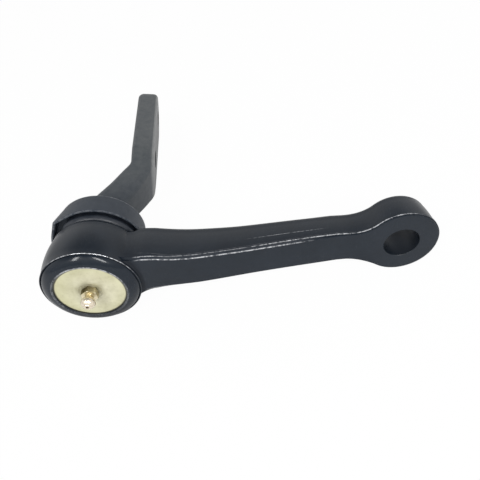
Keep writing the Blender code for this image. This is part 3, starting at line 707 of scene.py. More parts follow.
def flash_rib(x):
    """Depths at which the rib starts and ends."""
    start = arm_depths(x)[0] + FLASH_SETBACK
    return start, start + between(FLASH_ROOT_WIDTH, FLASH_WIDTH, ease(*FLASH_NARROWS, x))


def face_edge(x):
    """Depth and inset of the front face's edge."""
    risen, along = ease(*FACE_RISES, x), 1 - ease(*FACE_SETTLES, x)
    return arm_depths(x)[0] - FACE_FORWARD * along * risen, FACE_INSET * along * between(1.5, 1.0, risen)


middle_front, middle_back, _ = arm_depths(ARM_LENGTH / 2)
print(f"bar is {(middle_back - middle_front) * 1000:.1f} mm deep at its middle")

# %% [markdown]
# ## The arm's section
#
# Behind the rib the sides are crowned, so that the forging could leave the die, and they end in a round corner
# at the back. A section is a list of layers, each a depth and an inset from the outline. A large flat face
# needs one extra row just inside its edge: without it, the edge's smooth shading runs right across the face.
#
# The bar isn't quite an even taper. It is a little slimmer in its first half, and its root sits a little high.

# %% Stack the section's layers
FACE_EDGE = 0.3 * MM
FLASH_LINE = 0.2 * MM  # width of the bare line on each of the rib's edges
FLASH_SHOULDER = 0.1 * MM
CROWN = 0.105  # how far the sides draw in, as a share of their depth
HIGHLIGHT_ROW = 0.36  # a painted highlight line runs along the bar here, as a share of the side
CROWN_ROWS = (0.125, 0.25, HIGHLIGHT_ROW - 0.015, HIGHLIGHT_ROW, HIGHLIGHT_ROW + 0.015, 0.5, 0.625, 0.75, 0.875)
BACK_ROUND, EYE_BACK_ROUND = (4.0 * MM, 2.8 * MM), (3.0 * MM, 2.0 * MM)  # depth and height of the back's corner
BACK_STEPS = 10
BAR_WAIST = 0.9 * MM
WAIST_STARTS, WAIST_ENDS = (30 * MM, 52 * MM), (78 * MM, 125 * MM)
ROOT_LIFT, ROOT_FLARE = 1.5 * MM, 1.2 * MM
LIFT_STARTS, LIFT_ENDS, FLARE_ENDS = (12 * MM, 34 * MM), (34 * MM, 60 * MM), (28 * MM, 44 * MM)


def back_round(x):
    to_eye = arm_depths(x)[2]
    return [between(on_bar, on_eye, to_eye) for on_bar, on_eye in zip(BACK_ROUND, EYE_BACK_ROUND)]


def crowned_side(x):
    """Depths at which the crowned side starts and ends."""
    return flash_rib(x)[1] + FLASH_SHOULDER, arm_depths(x)[1] - back_round(x)[0]


def arm_layers(x):
    front, edge = face_edge(x)
    start, end = flash_rib(x)
    foot = start - FLASH_SHOULDER
    crown_start, crown_end = crowned_side(x)
    deep = crown_end - crown_start
    inset = CROWN * deep
    round_depth, round_height = back_round(x)
    waist = BAR_WAIST * hump(WAIST_STARTS, WAIST_ENDS, x)
    rows = [(front, edge + 3 * FACE_EDGE), (front, edge + FACE_EDGE)]
    rows += [(front + 0.3 * FACE_EDGE, edge + 0.3 * FACE_EDGE), (front + FACE_EDGE, edge)]
    rows += [(between(front + FACE_EDGE, foot, 0.25), 0.75 * edge), (foot, 0.0)]
    rows += [(depth, -FLASH_HEIGHT) for depth in (start, start + FLASH_LINE, start + 1.3 * FLASH_LINE)]
    rows += [(depth, -FLASH_HEIGHT) for depth in (end - 1.3 * FLASH_LINE, end - FLASH_LINE, end)]
    rows += [(crown_start, 0.0)]
    rows += [(crown_start + deep * share, inset * share**2) for share in CROWN_ROWS]
    rows += arc((crown_end, inset + round_height), (round_depth, round_height), -90, 0, BACK_STEPS)
    return [(depth, inset + waist) for depth, inset in rows]


def lifted(x, depth, z):
    """The bar's root sits high, and flares a little more above than below."""
    flare = ROOT_FLARE * (1 - ease(*FLARE_ENDS, x)) * ease(0, ROOT_HALF_HEIGHT, z)
    lift = ROOT_LIFT * (1 - ease(*LIFT_ENDS, x))
    return Vector((x, depth, z + (lift + flare) * ease(*LIFT_STARTS, x)))


print(f"the section has {len(arm_layers(ARM_LENGTH / 2))} layers")

# %% [markdown]
# ## The pivot housing
#
# The housing is turned about the pivot, with a side that is crowned and tapers to the back. At the front its
# wall was rolled over the cap to hold it in, which leaves a smooth lip with a fine groove and a sharp ring
# outside it. The bore behind holds the bearing. It is a profile of its own, and is cut last.

# %% Draw the housing's profiles
HOUSING_DEPTH = 30.5 * MM
HOUSING_TAPER, HOUSING_CROWN = 1.2 * MM, 1.0 * MM
HOUSING_ROUND, HOUSING_ROUND_DEPTH = 2.8 * MM, 4 * MM
HOUSING_SIDE_START = 5.5 * MM
SIDE_STEPS = 12
RIM_DEPTH = 2.8 * MM  # cap face to the sharp ring
RIM_CREST = 1.0 * MM
RIM_OPENING = 18.8 * MM
RING_WIDTH, GROOVE_WIDTH = 0.5 * MM, 0.3 * MM
RING_EDGE = 0.1 * MM
LIP_FLATNESS = 1.2  # 1 would be an ellipse; more is flatter in the middle
ROUND_STEPS = 160
SEAT_GAP = 0.3 * MM  # pieces that touch stand this far apart
POCKET_RADIUS, POCKET_DEPTH = 20.8 * MM, 2.9 * MM  # for the cap
BORE_RADIUS, BORE_DEPTH = 18.6 * MM, 20 * MM  # for the bearing
JOURNAL_BORE = 14 * MM


def housing_profile():
    ring_inside = HOUSING_RADIUS - RING_WIDTH
    groove = RIM_DEPTH + RING_WIDTH
    crest = RIM_OPENING + RIM_CREST
    reach, rise = ring_inside - GROOVE_WIDTH - crest, groove + RIM_CREST
    inner = [(radius, -depth) for radius, depth in arc((crest, 0), (RIM_CREST, RIM_CREST), 180, 90, 5)[:-1]]
    flat = [(max(c, 0) ** LIP_FLATNESS, max(s, 0) ** LIP_FLATNESS) for c, s in arc((0, 0), (1, 1), 90, 0, 26)]
    rolled = [(crest + reach * c, groove - rise * s) for c, s in flat]
    ring = [(ring_inside, RIM_DEPTH), (HOUSING_RADIUS - RING_EDGE, RIM_DEPTH)]
    ring += [(HOUSING_RADIUS, RIM_DEPTH + edge) for edge in (RING_EDGE, 3 * RING_EDGE, 5 * RING_EDGE)]
    round_start = HOUSING_DEPTH - HOUSING_ROUND_DEPTH
    side = []
    for step in range(SIDE_STEPS):
        share = step / SIDE_STEPS
        crown = HOUSING_CROWN * 4 * share * (1 - share) - HOUSING_TAPER * share
        side.append((HOUSING_RADIUS + crown, between(HOUSING_SIDE_START, round_start, share)))
    back = HOUSING_RADIUS - HOUSING_TAPER - HOUSING_ROUND
    rounding = arc((back, round_start), (HOUSING_ROUND, HOUSING_ROUND_DEPTH), 0, 90, 12)
    return [(0, 0)] + inner + rolled + ring + side + rounding + [(0, HOUSING_DEPTH)]


BORE_PROFILE = [
    (0, -2 * RIM_CREST),
    (RIM_OPENING, -2 * RIM_CREST),
    (RIM_OPENING, -SEAT_GAP),
    (POCKET_RADIUS, -SEAT_GAP),
    (POCKET_RADIUS, POCKET_DEPTH),
    (BORE_RADIUS, POCKET_DEPTH),
    (BORE_RADIUS, BORE_DEPTH),
    (JOURNAL_BORE, BORE_DEPTH),
    (JOURNAL_BORE, 2 * HOUSING_DEPTH),
    (0, 2 * HOUSING_DEPTH),
]
print(f"housing profile: {len(housing_profile())} corners")

# %% [markdown]
# ## A fillet where the bar meets the housing
#
# The bar's face doesn't stop dead against the housing: a small fillet runs round between them. It is a turned
# cove, kept only where it lies over the bar, so it follows the housing's circle as the real one does.

# %% Draw the cove
COVE_REACH = 2.6 * MM
COVE_TOP = RIM_DEPTH + 0.9 * MM
COVE_BURIED = 2 * MM  # its back lies inside the housing
COVE_BITE = 0.05 * MM  # and its upper edge just inside the housing's side


def cove_profile():
    outside = HOUSING_RADIUS + COVE_REACH
    wide, low = COVE_REACH + COVE_BITE, FRONT_AT_ROOT + 0.03 * MM - COVE_TOP
    curve = arc((outside, COVE_TOP), (wide, low), 180, 90, 8)
    deep, inside = FRONT_AT_ROOT + 3 * MM, HOUSING_RADIUS - COVE_BURIED
    return curve + [(outside + 0.2 * MM, deep), (inside, deep), (inside, COVE_TOP)]


print(f"cove profile: {len(cove_profile())} corners")

# %% [markdown]
# ## Where the arm is worn, and where highlights and shade are painted
#
# Handling rubs paint off whatever stands proud: the rib's two edges, the front face's edge, the sharp ring and
# the lip's crest. The same pale lines also stand in for highlights: on the ring and the crest they are painted
# brightest where they face up, and one painted highlight line runs along the bar's crowned side. Painted shade
# darkens the eye's hole, the cove, the groove inside the sharp ring and the lip where it faces down. Each rule
# below looks at a point's place and gives its share. A painted mask would do the same, but it would have to be
# redrawn whenever the shape changes.

# %% Write the arm's wear, painted highlights and painted shade
SLACK = 0.03 * MM  # room for rounding when a point is matched to a line
LIP_TOP = (0.35, 0.94)  # the way, in x and z, to the part of the lip that faces up
LIP_END = RIM_DEPTH + 0.6 * MM
RIB_LINE_LEAST, REAR_LINE_WEAR_AND_GLINT, HIGHLIGHT_LINE_LEVEL = 0.4, 0.12, 0.55
BAR_LINES_START = (26 * MM, 31 * MM)
BAR_LINES_END = (ARM_LENGTH - 6 * MM, ARM_LENGTH + 12 * MM)
FACE_LINE_FADES = (96 * MM, 126 * MM)
RIB_LINE_WEAK, RIB_LINE_BACK = (33 * MM, 40 * MM), (84 * MM, 108 * MM)
REAR_LINE_FADES = (130 * MM, 150 * MM)
HIGHLIGHT_LINE_STARTS, HIGHLIGHT_LINE_ENDS = (84 * MM, 96 * MM), (118 * MM, 130 * MM)
COVE_SHADE = (HOUSING_RADIUS + 1.2 * MM, HOUSING_RADIUS + 2.5 * MM)
EYE_HOLE_RADIUS = 9.3 * MM


def rim_wear_and_glint(co, radius):
    """The sharp ring and the lip's crest: worn paint, and a painted highlight that is brightest where they face up.
    """
    upward = ease(0.45, 0.95, (LIP_TOP[0] * co.x + LIP_TOP[1] * co.z) / radius if radius else 0)
    on_ring = abs(co.y - RIM_DEPTH) < RING_EDGE + SLACK and radius > HOUSING_RADIUS - RING_EDGE - SLACK
    on_crest = co.y < -0.8 * RIM_CREST and radius < RIM_OPENING + 1.2 * RIM_CREST
    return (0.08 + 0.92 * upward) * on_ring + (0.15 + 0.6 * upward) * on_crest


def wear_and_glint_arm(co):
    """Where the paint is worn thin, and where highlights are painted along edges and the bar's side."""
    radius = math.hypot(co.x, co.z)
    if radius < HOUSING_RADIUS + 0.3 * MM:
        return rim_wear_and_glint(co, radius)
    front = face_edge(co.x)[0]
    start, end = flash_rib(co.x)
    lines = hump(BAR_LINES_START, BAR_LINES_END, co.x)
    if front + 0.2 * FACE_EDGE < co.y < front + FACE_EDGE + SLACK:
        return lines * (1 - ease(*FACE_LINE_FADES, co.x))
    if start - SLACK < co.y < start + FLASH_LINE + SLACK:
        return lines * between(1.0, RIB_LINE_LEAST, hump(RIB_LINE_WEAK, RIB_LINE_BACK, co.x))
    if end - FLASH_LINE - SLACK < co.y < end + SLACK:
        return lines * REAR_LINE_WEAR_AND_GLINT * (1 - ease(*REAR_LINE_FADES, co.x))
    # a painted highlight line along the crowned side
    if abs(co.y - between(*crowned_side(co.x), HIGHLIGHT_ROW)) < SLACK:
        return HIGHLIGHT_LINE_LEVEL * hump(HIGHLIGHT_LINE_STARTS, HIGHLIGHT_LINE_ENDS, co.x)
    return 0.0


def shaded_arm(co):
    """Painted shade: the eye's hole, the cove, the groove inside the sharp ring, and the lip where it faces down.
    """
    if math.hypot(co.x - ARM_LENGTH, co.z) < EYE_HOLE_RADIUS + SLACK:
        return 0.45
    radius = math.hypot(co.x, co.z)
    if LIP_END + RING_EDGE < co.y < FRONT_AT_ROOT + 0.3 * MM and radius > HOUSING_RADIUS and co.x > 0:
        return 0.9 * (1 - ease(*COVE_SHADE, radius))
    if not on_lip(co):
        return 0.0
    if radius > HOUSING_RADIUS - RING_WIDTH - GROOVE_WIDTH - RING_EDGE:
        return 1.0
    return 0.8 * ease(0.3, 0.9, -co.z / radius) if radius else 0.0


def on_lip(co):
    return math.hypot(co.x, co.z) < HOUSING_RADIUS - RING_WIDTH + RING_EDGE and co.y < LIP_END


def glossy_arm(co):
    """Rolling polished the lip."""
    return 1.0 if on_lip(co) else 0.0


print("wear on the rib at 60 mm:", round(wear_and_glint_arm(Vector((60 * MM, flash_rib(60 * MM)[0], 0))), 2))

# %% [markdown]
# ## The arm itself
#
# Housing, bar and cove are joined first, then the bore and the eye's hole are cut through all of them at once,
# so that no inner wall is left where two forms overlapped.

# %% Build the arm
EYE_CHAMFER = 0.2 * MM
BAR_FOOTPRINT = [(0.0, 0.8 * MM), (10 * MM, 0.8 * MM)]  # a little inside the bar, and past the cove both ways


def build_arm():
    arm = make_piece("forged_arm", turned(housing_profile(), ROUND_STEPS), arm_frame)
    bar = make_piece("bar_form", forged(outline, arm_layers, lifted), arm_frame)
    cove = make_piece("cove_form", turned(cove_profile(), ROUND_STEPS, closed=True), arm_frame)
    tall = make_piece("tall_form", forged(outline, lambda x: BAR_FOOTPRINT, lifted), arm_frame)
    combine(cove, [("INTERSECT", tall)])
    bore = make_piece("bore_form", turned(BORE_PROFILE, ROUND_STEPS), arm_frame)
    ends = [Vector((ARM_LENGTH, depth, 0)) for depth in (FRONT_AT_EYE, BACK_AT_EYE)]
    eye = make_piece("eye_form", drill(EYE_HOLE_RADIUS, *ends, EYE_CHAMFER), arm_frame)
    combine(arm, [("UNION", bar), ("UNION", cove), ("DIFFERENCE", bore), ("DIFFERENCE", eye)], sharp=28)
    note_point_values(arm, "rubbed", wear_and_glint_arm)
    note_point_values(arm, "shaded", shaded_arm)
    note_point_values(arm, "glossy", glossy_arm)
    return arm


arm = build_arm()
finish_piece(arm, "arm_body", ["arm"], arm_paint)

# %% [markdown]
# ## The bracket's path
#
# The neck leaves the flange at an angle and bends into the strap, which leans by a degree or so. The section
# is a plain bar with rounded edges, so it is swept along that path: two straight lines and a bend between
# them. Distances along it are counted from the middle of the bend.

# %% Work out the bracket's path
FLANGE_FRONT = 34.6 * MM
FLANGE_FLOOR = 40.4 * MM
FLANGE_BACK = 50.2 * MM
NECK_LEAN = math.radians(23.2)
STRAP_LEAN = math.radians(1.32)
TURN = NECK_LEAN + STRAP_LEAN
BEND_RADIUS = 16.5 * MM
STRAP_FACE = 25 * MM  # the strap's outer face to the pivot's axis, at the outer bolt
STRAP_THICKNESS = 14.9 * MM
NECK_OFFSET = -2.1 * MM
SIDE_OFFSET = -2.3 * MM
OUTER_BOLT = 183.2 * MM
BOLT_SPACING = 57.15 * MM


def bend_point():
    """Where the neck's middle line and the strap's would cross."""
    lean, climb = math.tan(STRAP_LEAN), math.tan(NECK_LEAN)
    rise = STRAP_FACE - STRAP_THICKNESS / 2 + (OUTER_BOLT - FLANGE_BACK) * lean - NECK_OFFSET
    run = rise / (climb + lean)
    return NECK_OFFSET + run * climb, FLANGE_BACK + run


def along_path(distance):
    """(across, depth, heading) of the path's middle at this distance from the bend."""
    across, depth = bend_point()
    tangent = BEND_RADIUS * math.tan(TURN / 2)
    half_arc = BEND_RADIUS * TURN / 2
    if abs(distance) > half_arc:
        heading = NECK_LEAN if distance < 0 else -STRAP_LEAN
        run = distance + math.copysign(tangent - half_arc, distance)
        return across + run * math.sin(heading), depth + run * math.cos(heading), heading
    heading = NECK_LEAN - (distance + half_arc) / BEND_RADIUS
    x = across - tangent * math.sin(NECK_LEAN) + BEND_RADIUS * (math.cos(heading) - math.cos(NECK_LEAN))
    y = depth - tangent * math.cos(NECK_LEAN) + BEND_RADIUS * (math.sin(NECK_LEAN) - math.sin(heading))
    return x, y, heading


def on_path(distance, offset, side):
    """A point beside the path: offset across the slab's thickness, side along its width."""
    across, depth, heading = along_path(distance)
    x = across + offset * math.cos(heading)
    y = depth - offset * math.sin(heading)
    return Vector((x, y, side + SIDE_OFFSET))


def strap_distance(depth):
    saved = BEND_RADIUS * (math.tan(TURN / 2) - TURN / 2)
    return (depth - bend_point()[1]) / math.cos(STRAP_LEAN) - saved


TIP = strap_distance(OUTER_BOLT)
print(f"the bend is {bend_point()[1] * 1000:.1f} mm behind the cap's face")

# %% [markdown]
# ## The bracket's outline and section
#
# The strap is half as wide again as the neck, and a soft shoulder joins the two just at the bend. Its end is
# a plain half circle round the outer bolt hole. The neck gets thicker towards the flange on its inner side,
# and its edges are rounder than the strap's.

# %% Draw the slab
NECK_HALF_WIDTH, STRAP_HALF_WIDTH = 13.2 * MM, 19.05 * MM
SHOULDER_START, SHOULDER_END = -10 * MM, 16 * MM
NECK_THICKNESS = 16.2 * MM
NECK_FLARE, FLARE_LENGTH, FLARE_END = 5 * MM, 52 * MM, 2 * MM
NECK_ROUNDING, TIP_ROUNDING = 5.2 * MM, 6.2 * MM
INNER_ROUNDING, BEND_ROUNDING, OUTER_ROUNDING = 2.8 * MM, 3.0 * MM, 1.5 * MM
ROUNDING_SHRINKS, OUTER_SHRINKS = (-26 * MM, -6 * MM), (6 * MM, 24 * MM)
STRAIGHT_STEPS, SHOULDER_STEPS, TIP_STEPS = 12, 30, 36


def half_width(distance):
    return between(NECK_HALF_WIDTH, STRAP_HALF_WIDTH, ease(SHOULDER_START, SHOULDER_END, distance))


def slab_outline():
    """Half the outline, from inside the flange to the strap's tip."""
    start = ((FLANGE_BACK + FLANGE_FLOOR) / 2 - bend_point()[1]) / math.cos(NECK_LEAN)
    stations = [between(start, SHOULDER_START, step / STRAIGHT_STEPS) for step in range(STRAIGHT_STEPS)]
    stations += [between(SHOULDER_START, SHOULDER_END, step / SHOULDER_STEPS) for step in range(SHOULDER_STEPS + 1)]
    stations += [between(SHOULDER_END, TIP, step / STRAIGHT_STEPS) for step in range(1, STRAIGHT_STEPS)]
    step = 0.3 * MM
    points = []
    for station in stations:
        slope = (half_width(station + step) - half_width(station - step)) / (2 * step)
        length = math.hypot(1, slope)
        points.append((station, half_width(station), -slope / length, 1 / length))
    spokes = arc((0, 0), (1, 1), 90, 0, TIP_STEPS)[:-1]
    points += [(TIP + STRAP_HALF_WIDTH * c, STRAP_HALF_WIDTH * s, c, s) for c, s in spokes]
    return points + [(TIP + STRAP_HALF_WIDTH, 0.0, 1.0, 0.0)]


def slab_layers(distance):
    """Two rounded edges. Both get smaller from the neck to the strap, and larger again round the tip."""
    half = between(NECK_THICKNESS, STRAP_THICKNESS, ease(SHOULDER_START, 0, distance)) / 2
    flare = NECK_FLARE * min(max((FLARE_END - distance) / FLARE_LENGTH, 0), 1)
    to_strap = ease(*ROUNDING_SHRINKS, distance)
    round_tip = ease(TIP, TIP + STRAP_HALF_WIDTH, distance)
    size = between(between(NECK_ROUNDING, INNER_ROUNDING, to_strap), TIP_ROUNDING, round_tip)
    inner = arc((-half - flare + size, size), (size, size), 180, 270, 10)
    size = between(NECK_ROUNDING, BEND_ROUNDING, to_strap)
    size = between(between(size, OUTER_ROUNDING, ease(*OUTER_SHRINKS, distance)), TIP_ROUNDING, round_tip)
    outer = arc((half - size, size), (size, size), 270, 360, 10)
    return inner + outer


print(f"slab outline: {len(slab_outline())} points a side, and {len(slab_layers(0))} layers")

# %% [markdown]
# ## Flange and stud
#
# The bracket's round end is turned: a spigot with a groove for the retaining ring, the journal, then the
# flange, whose skirt reaches forward over the seal. The skirt was knocked square at one place. Two tangents
# that meet outside the circle give that bent corner, and it fades out towards the back.

# %% Draw the flange and the stud
SPIGOT_RADIUS, SPIGOT_TIP, SPIGOT_CHAMFER = 8.0 * MM, 5.8 * MM, 0.4 * MM
RING_GROOVE_RADIUS, RING_GROOVE = 6.9 * MM, (6.6 * MM, 8.05 * MM)
JOURNAL_RADIUS, JOURNAL_END, JOURNAL_CHAMFER = 11.0 * MM, 17.8 * MM, 0.8 * MM
SKIRT_WALL, SKIRT_EDGE = 1.8 * MM, 0.6 * MM
FLANGE_BACK_INSET, FLANGE_BACK_ROUND, FLANGE_BACK_INSIDE = 3 * MM, 1 * MM, 23.4 * MM
KNOCK_START, KNOCK_END = math.radians(123), math.radians(166)
KNOCK_FADES = (FLANGE_FRONT + 1.5 * MM, FLANGE_FRONT + 6 * MM)


def flange_profile():
    inside = SKIRT_RADIUS - SKIRT_WALL
    corner = (SKIRT_RADIUS - FLANGE_BACK_INSET, FLANGE_BACK - FLANGE_BACK_ROUND)
    back = arc(corner, (FLANGE_BACK_ROUND, FLANGE_BACK_ROUND), 0, 90, 6)
    return [
        (0, SPIGOT_TIP),
        (SPIGOT_RADIUS - SPIGOT_CHAMFER, SPIGOT_TIP),
        (SPIGOT_RADIUS, SPIGOT_TIP + SPIGOT_CHAMFER),
        (SPIGOT_RADIUS, RING_GROOVE[0]),
        (RING_GROOVE_RADIUS, RING_GROOVE[0]),
        (RING_GROOVE_RADIUS, RING_GROOVE[1]),
        (SPIGOT_RADIUS, RING_GROOVE[1]),
        (SPIGOT_RADIUS, JOURNAL_END),
        (JOURNAL_RADIUS - JOURNAL_CHAMFER, JOURNAL_END),
        (JOURNAL_RADIUS, JOURNAL_END + JOURNAL_CHAMFER),
        (JOURNAL_RADIUS, FLANGE_FLOOR),
        (inside - SKIRT_EDGE, FLANGE_FLOOR),
        (inside, FLANGE_FLOOR - SKIRT_EDGE),
        (inside, FLANGE_FRONT + SKIRT_EDGE),
        (inside + SKIRT_EDGE, FLANGE_FRONT),
        (SKIRT_RADIUS - SKIRT_EDGE, FLANGE_FRONT),
        (SKIRT_RADIUS - 0.2 * MM, FLANGE_FRONT + 0.15 * MM),
        (SKIRT_RADIUS, FLANGE_FRONT + SKIRT_EDGE),
        *back,
        (FLANGE_BACK_INSIDE, FLANGE_BACK),
        (0, FLANGE_BACK),
    ]


def knocked(shape):
    """Moves the skirt's points out to the two tangents."""
    for point in shape.verts:
        radius = math.hypot(point.co.x, point.co.z)
        angle = math.atan2(point.co.z, point.co.x)
        share = 1 - ease(*KNOCK_FADES, point.co.y)
        if radius > FLANGE_BACK_INSIDE + 0.6 * MM and KNOCK_START < angle < KNOCK_END and share > 0:
            grow = 1 + (1 / math.cos(min(angle - KNOCK_START, KNOCK_END - angle)) - 1) * share
            point.co.x *= grow
            point.co.z *= grow
    return shape


print(f"flange profile: {len(flange_profile())} corners")

# %% [markdown]
# ## The bracket itself, its wear, and its painted highlights and shade
#
# The slab is joined to the flange, and then the two bolt holes are cut. Both edges of the flange are worn a
# little and carry painted highlights, painted shade darkens the bolt holes inside, and the strap's outer face is
# the palest, with dust and a painted sheen.

# %% Build the bracket
BOLT_HOLE_RADIUS, BOLT_CHAMFER = 6.2 * MM, 0.12 * MM
BOLT_STATIONS = (TIP, TIP - BOLT_SPACING)
BACK_EDGE = (23.8 * MM, 25.4 * MM)  # radii of the flange's back edge, worn and painted with a highlight
BACK_EDGE_WEAR_AND_GLINT, FRONT_EDGE_WEAR_AND_GLINT = 0.3, 0.14
DUST_AND_SHEEN_DEPTH, DUST_AND_SHEEN_GROWS = (-1.6 * MM, -0.7 * MM), (75 * MM, 105 * MM)
HOLES_START = 100 * MM  # the flange and the neck lie in front of this, and have no holes


# worn paint and painted highlights along the flange's back and front edges
def bracket_wear_and_glint(co):
    radius = math.hypot(co.x, co.z)
    on_back = FLANGE_BACK - 0.8 * MM < co.y < FLANGE_BACK + 0.01 * MM and BACK_EDGE[0] < radius < BACK_EDGE[1]
    on_front = co.y < FLANGE_FRONT + 0.2 * MM and radius > SKIRT_RADIUS - 0.7 * MM
    return BACK_EDGE_WEAR_AND_GLINT * on_back + FRONT_EDGE_WEAR_AND_GLINT * on_front


def shaded_bracket(co):
    """Painted shade inside a bolt hole: close to its axis, and behind the neck."""
    for distance in BOLT_STATIONS:
        middle = on_path(distance, 0, 0)
        along = on_path(distance, 1, 0) - middle
        out = (co - middle - along * (co - middle).dot(along)).length
        if co.y > HOLES_START and out < BOLT_HOLE_RADIUS + 0.05 * MM:
            return 1.0
    return 0.0


def bracket_dust_and_sheen(co):
    """Dust and a painted sheen on the strap's outer face."""
    face = STRAP_FACE + (OUTER_BOLT - co.y) * math.tan(STRAP_LEAN)
    return ease(*DUST_AND_SHEEN_DEPTH, co.x - face) * ease(*DUST_AND_SHEEN_GROWS, co.y)


def build_bracket():
    bracket = make_piece("forged_bracket", knocked(turned(flange_profile(), ROUND_STEPS)), bracket_frame)
    steps = [("UNION", make_piece("strap_form", forged(slab_outline(), slab_layers, on_path), bracket_frame))]
    for number, distance in enumerate(BOLT_STATIONS):
        ends = [on_path(distance, side * STRAP_THICKNESS / 2, 0) for side in (-1, 1)]
        hole = drill(BOLT_HOLE_RADIUS, *ends, BOLT_CHAMFER)
        steps.append(("DIFFERENCE", make_piece(f"bolt_form_{number}", hole, bracket_frame)))
    combine(bracket, steps, sharp=28)
    note_point_values(bracket, "rubbed", bracket_wear_and_glint)
    note_point_values(bracket, "shaded", shaded_bracket)
    note_point_values(bracket, "dusty", bracket_dust_and_sheen)
    return bracket


bracket = build_bracket()
finish_piece(bracket, "bracket_body", ["bracket"], bracket_paint)

# %% [markdown]
# ## End cap
#
# The cap is a disc pressed from sheet, with a shallow dimple round the fitting's hole. Its edge lies in the
# housing's pocket, under the rolled lip. It is turned as a closed ring, since its middle is open.

# %% Build the end cap
CAP_RADIUS, CAP_THICKNESS = 20.5 * MM, 2.6 * MM
CAP_HOLE = 3.5 * MM
DIMPLE = [(5.5 * MM, 0.5 * MM), (5.8 * MM, 0.4 * MM), (6.2 * MM, 0.05 * MM), (6.5 * MM, 0)]

cap_profile = [(CAP_HOLE, DIMPLE[0][1]), *DIMPLE, (CAP_RADIUS, 0), (CAP_RADIUS, CAP_THICKNESS)]
cap_profile += [(CAP_HOLE, CAP_THICKNESS)]
cap = make_piece("plated_cap", turned(cap_profile, steps=128, closed=True), arm_frame, sharp=50)
finish_piece(cap, "arm_body", ["end_cap"], zinc)

# %% [markdown]
# ## Grease fitting
#
# A grease fitting always has the same parts: hexagon, waist, a bulb that the grease gun grips, and a mouth
# with a small ball in it. All but the hexagon is turned. The hexagon's corners are chamfered on a lathe too,
# which leaves the curved edges that catch the light, so its radius is the smaller of a hexagon's and a cone's.

# %% Draw the fitting
HEX_ACROSS, HEX_CHAMFER, HEX_BACK = 8 * MM, 0.4 * MM, 0.2 * MM
SHANK_RADIUS, SHANK_END = 3.2 * MM, 4.6 * MM
WAIST_RADIUS, WAIST_LENGTH = 2.3 * MM, 1.15 * MM
BULB_RADIUS, BULB_BACK_RADIUS = 3.9 * MM, 2.7 * MM
BULB_WIDEST = 0.42  # as a share of the way from its back to the tip
PASSAGE_RADIUS, PASSAGE_BACK, PASSAGE_FRONT = 1.5 * MM, 4.0 * MM, -8.2 * MM
PASSAGE_MOUTH, BACK_MOUTH = (0.8 * MM, -8.9 * MM), 1.0 * MM


def hexagon_shape(across, front, back, chamfer, steps=72):
    shape = bmesh.new()
    rings = []
    for depth, trim in ((front, chamfer), (front + chamfer * 0.6, 0.0), (back, 0.0)):
        ring = []
        for step in range(steps):
            angle = math.tau * step / steps
            sector = (angle + math.pi / 6) % (math.pi / 3) - math.pi / 6
            radius = min(across / 2 / math.cos(sector), across / math.sqrt(3) - trim)
            ring.append(shape.verts.new((radius * math.cos(angle), depth, radius * math.sin(angle))))
        rings.append(ring)
    bridge(shape, rings)
    shape.faces.new(rings[0])
    shape.faces.new(rings[-1])
    return shape


def fitting_profile():
    bulb_back = -HEX_HEIGHT - WAIST_LENGTH
    widest = between(bulb_back, -NIPPLE_REACH, BULB_WIDEST)
    nose = arc((0, widest), (BULB_RADIUS, widest + NIPPLE_REACH), 0, -64, 14)
    return [
        (PASSAGE_MOUTH[0], -NIPPLE_REACH),
        (PASSAGE_RADIUS, -NIPPLE_REACH),
        *reversed(nose),
        (BULB_BACK_RADIUS, bulb_back - 0.5 * MM),
        (WAIST_RADIUS, bulb_back),
        (WAIST_RADIUS, -HEX_HEIGHT + 0.4 * MM),
        (SHANK_RADIUS, -HEX_HEIGHT + 0.8 * MM),
        (SHANK_RADIUS, SHANK_END),
        (BACK_MOUTH, SHANK_END),
        (BACK_MOUTH, PASSAGE_BACK),
        (PASSAGE_RADIUS, PASSAGE_BACK),
        (PASSAGE_RADIUS, PASSAGE_FRONT),
        PASSAGE_MOUTH,
    ]


print(f"fitting profile: {len(fitting_profile())} corners")

# %% Build the fitting


def build_fitting():
    fitting = make_piece("brass_fitting", turned(fitting_profile(), steps=72, closed=True), arm_frame)
    collar_shape = hexagon_shape(HEX_ACROSS, -HEX_HEIGHT, HEX_BACK, HEX_CHAMFER)
    collar = make_piece("collar_form", collar_shape, arm_frame)
    passage = drill(PASSAGE_RADIUS + 0.4 * MM, Vector((0, -HEX_HEIGHT, 0)), Vector((0, HEX_BACK, 0)))
    combine(collar, [("DIFFERENCE", make_piece("passage_form", passage, arm_frame))])
    return combine(fitting, [("UNION", collar)], sharp=35)


finish_piece(build_fitting(), "arm_body", ["grease_fitting"], brass)

# %% [markdown]
# ## Dust seal
#
# The seal is a rubber ring that is squeezed between the housing's back and the flange, so it bulges out twice
# with a waist between. It isn't quite even: at the upper left it sits deeper, and a dark gap shows under the
# skirt. A turned ring is pulled in there after it is made.

# %% Build the dust seal
SEAL_FRONT, SEAL_BACK = HOUSING_DEPTH + SEAT_GAP, FLANGE_FLOOR - SEAT_GAP
SEAL_HOLE = 11.4 * MM
SEAL_WAIST = 0.56  # as a share of the way from front to back
FRONT_BULGE, BACK_BULGE = (22.2 * MM, 2.1 * MM), (21.7 * MM, 1.6 * MM)  # radius of the middle, and how far out
SINK, SINK_ANGLES, SINK_RADII = 3 * MM, (118, 150), (15 * MM, 21 * MM)


def seal_profile():
    waist = between(SEAL_FRONT, SEAL_BACK, SEAL_WAIST)
    first, second = (SEAL_FRONT + waist) / 2, (waist + SEAL_BACK) / 2
    bulges = arc((FRONT_BULGE[0], first), (FRONT_BULGE[1], first - SEAL_FRONT), -90, 58, 16)
    bulges += arc((BACK_BULGE[0], second), (BACK_BULGE[1], SEAL_BACK - second), -20, 90, 12)
    return [(SEAL_HOLE, SEAL_FRONT), *bulges, (SEAL_HOLE, SEAL_BACK)]


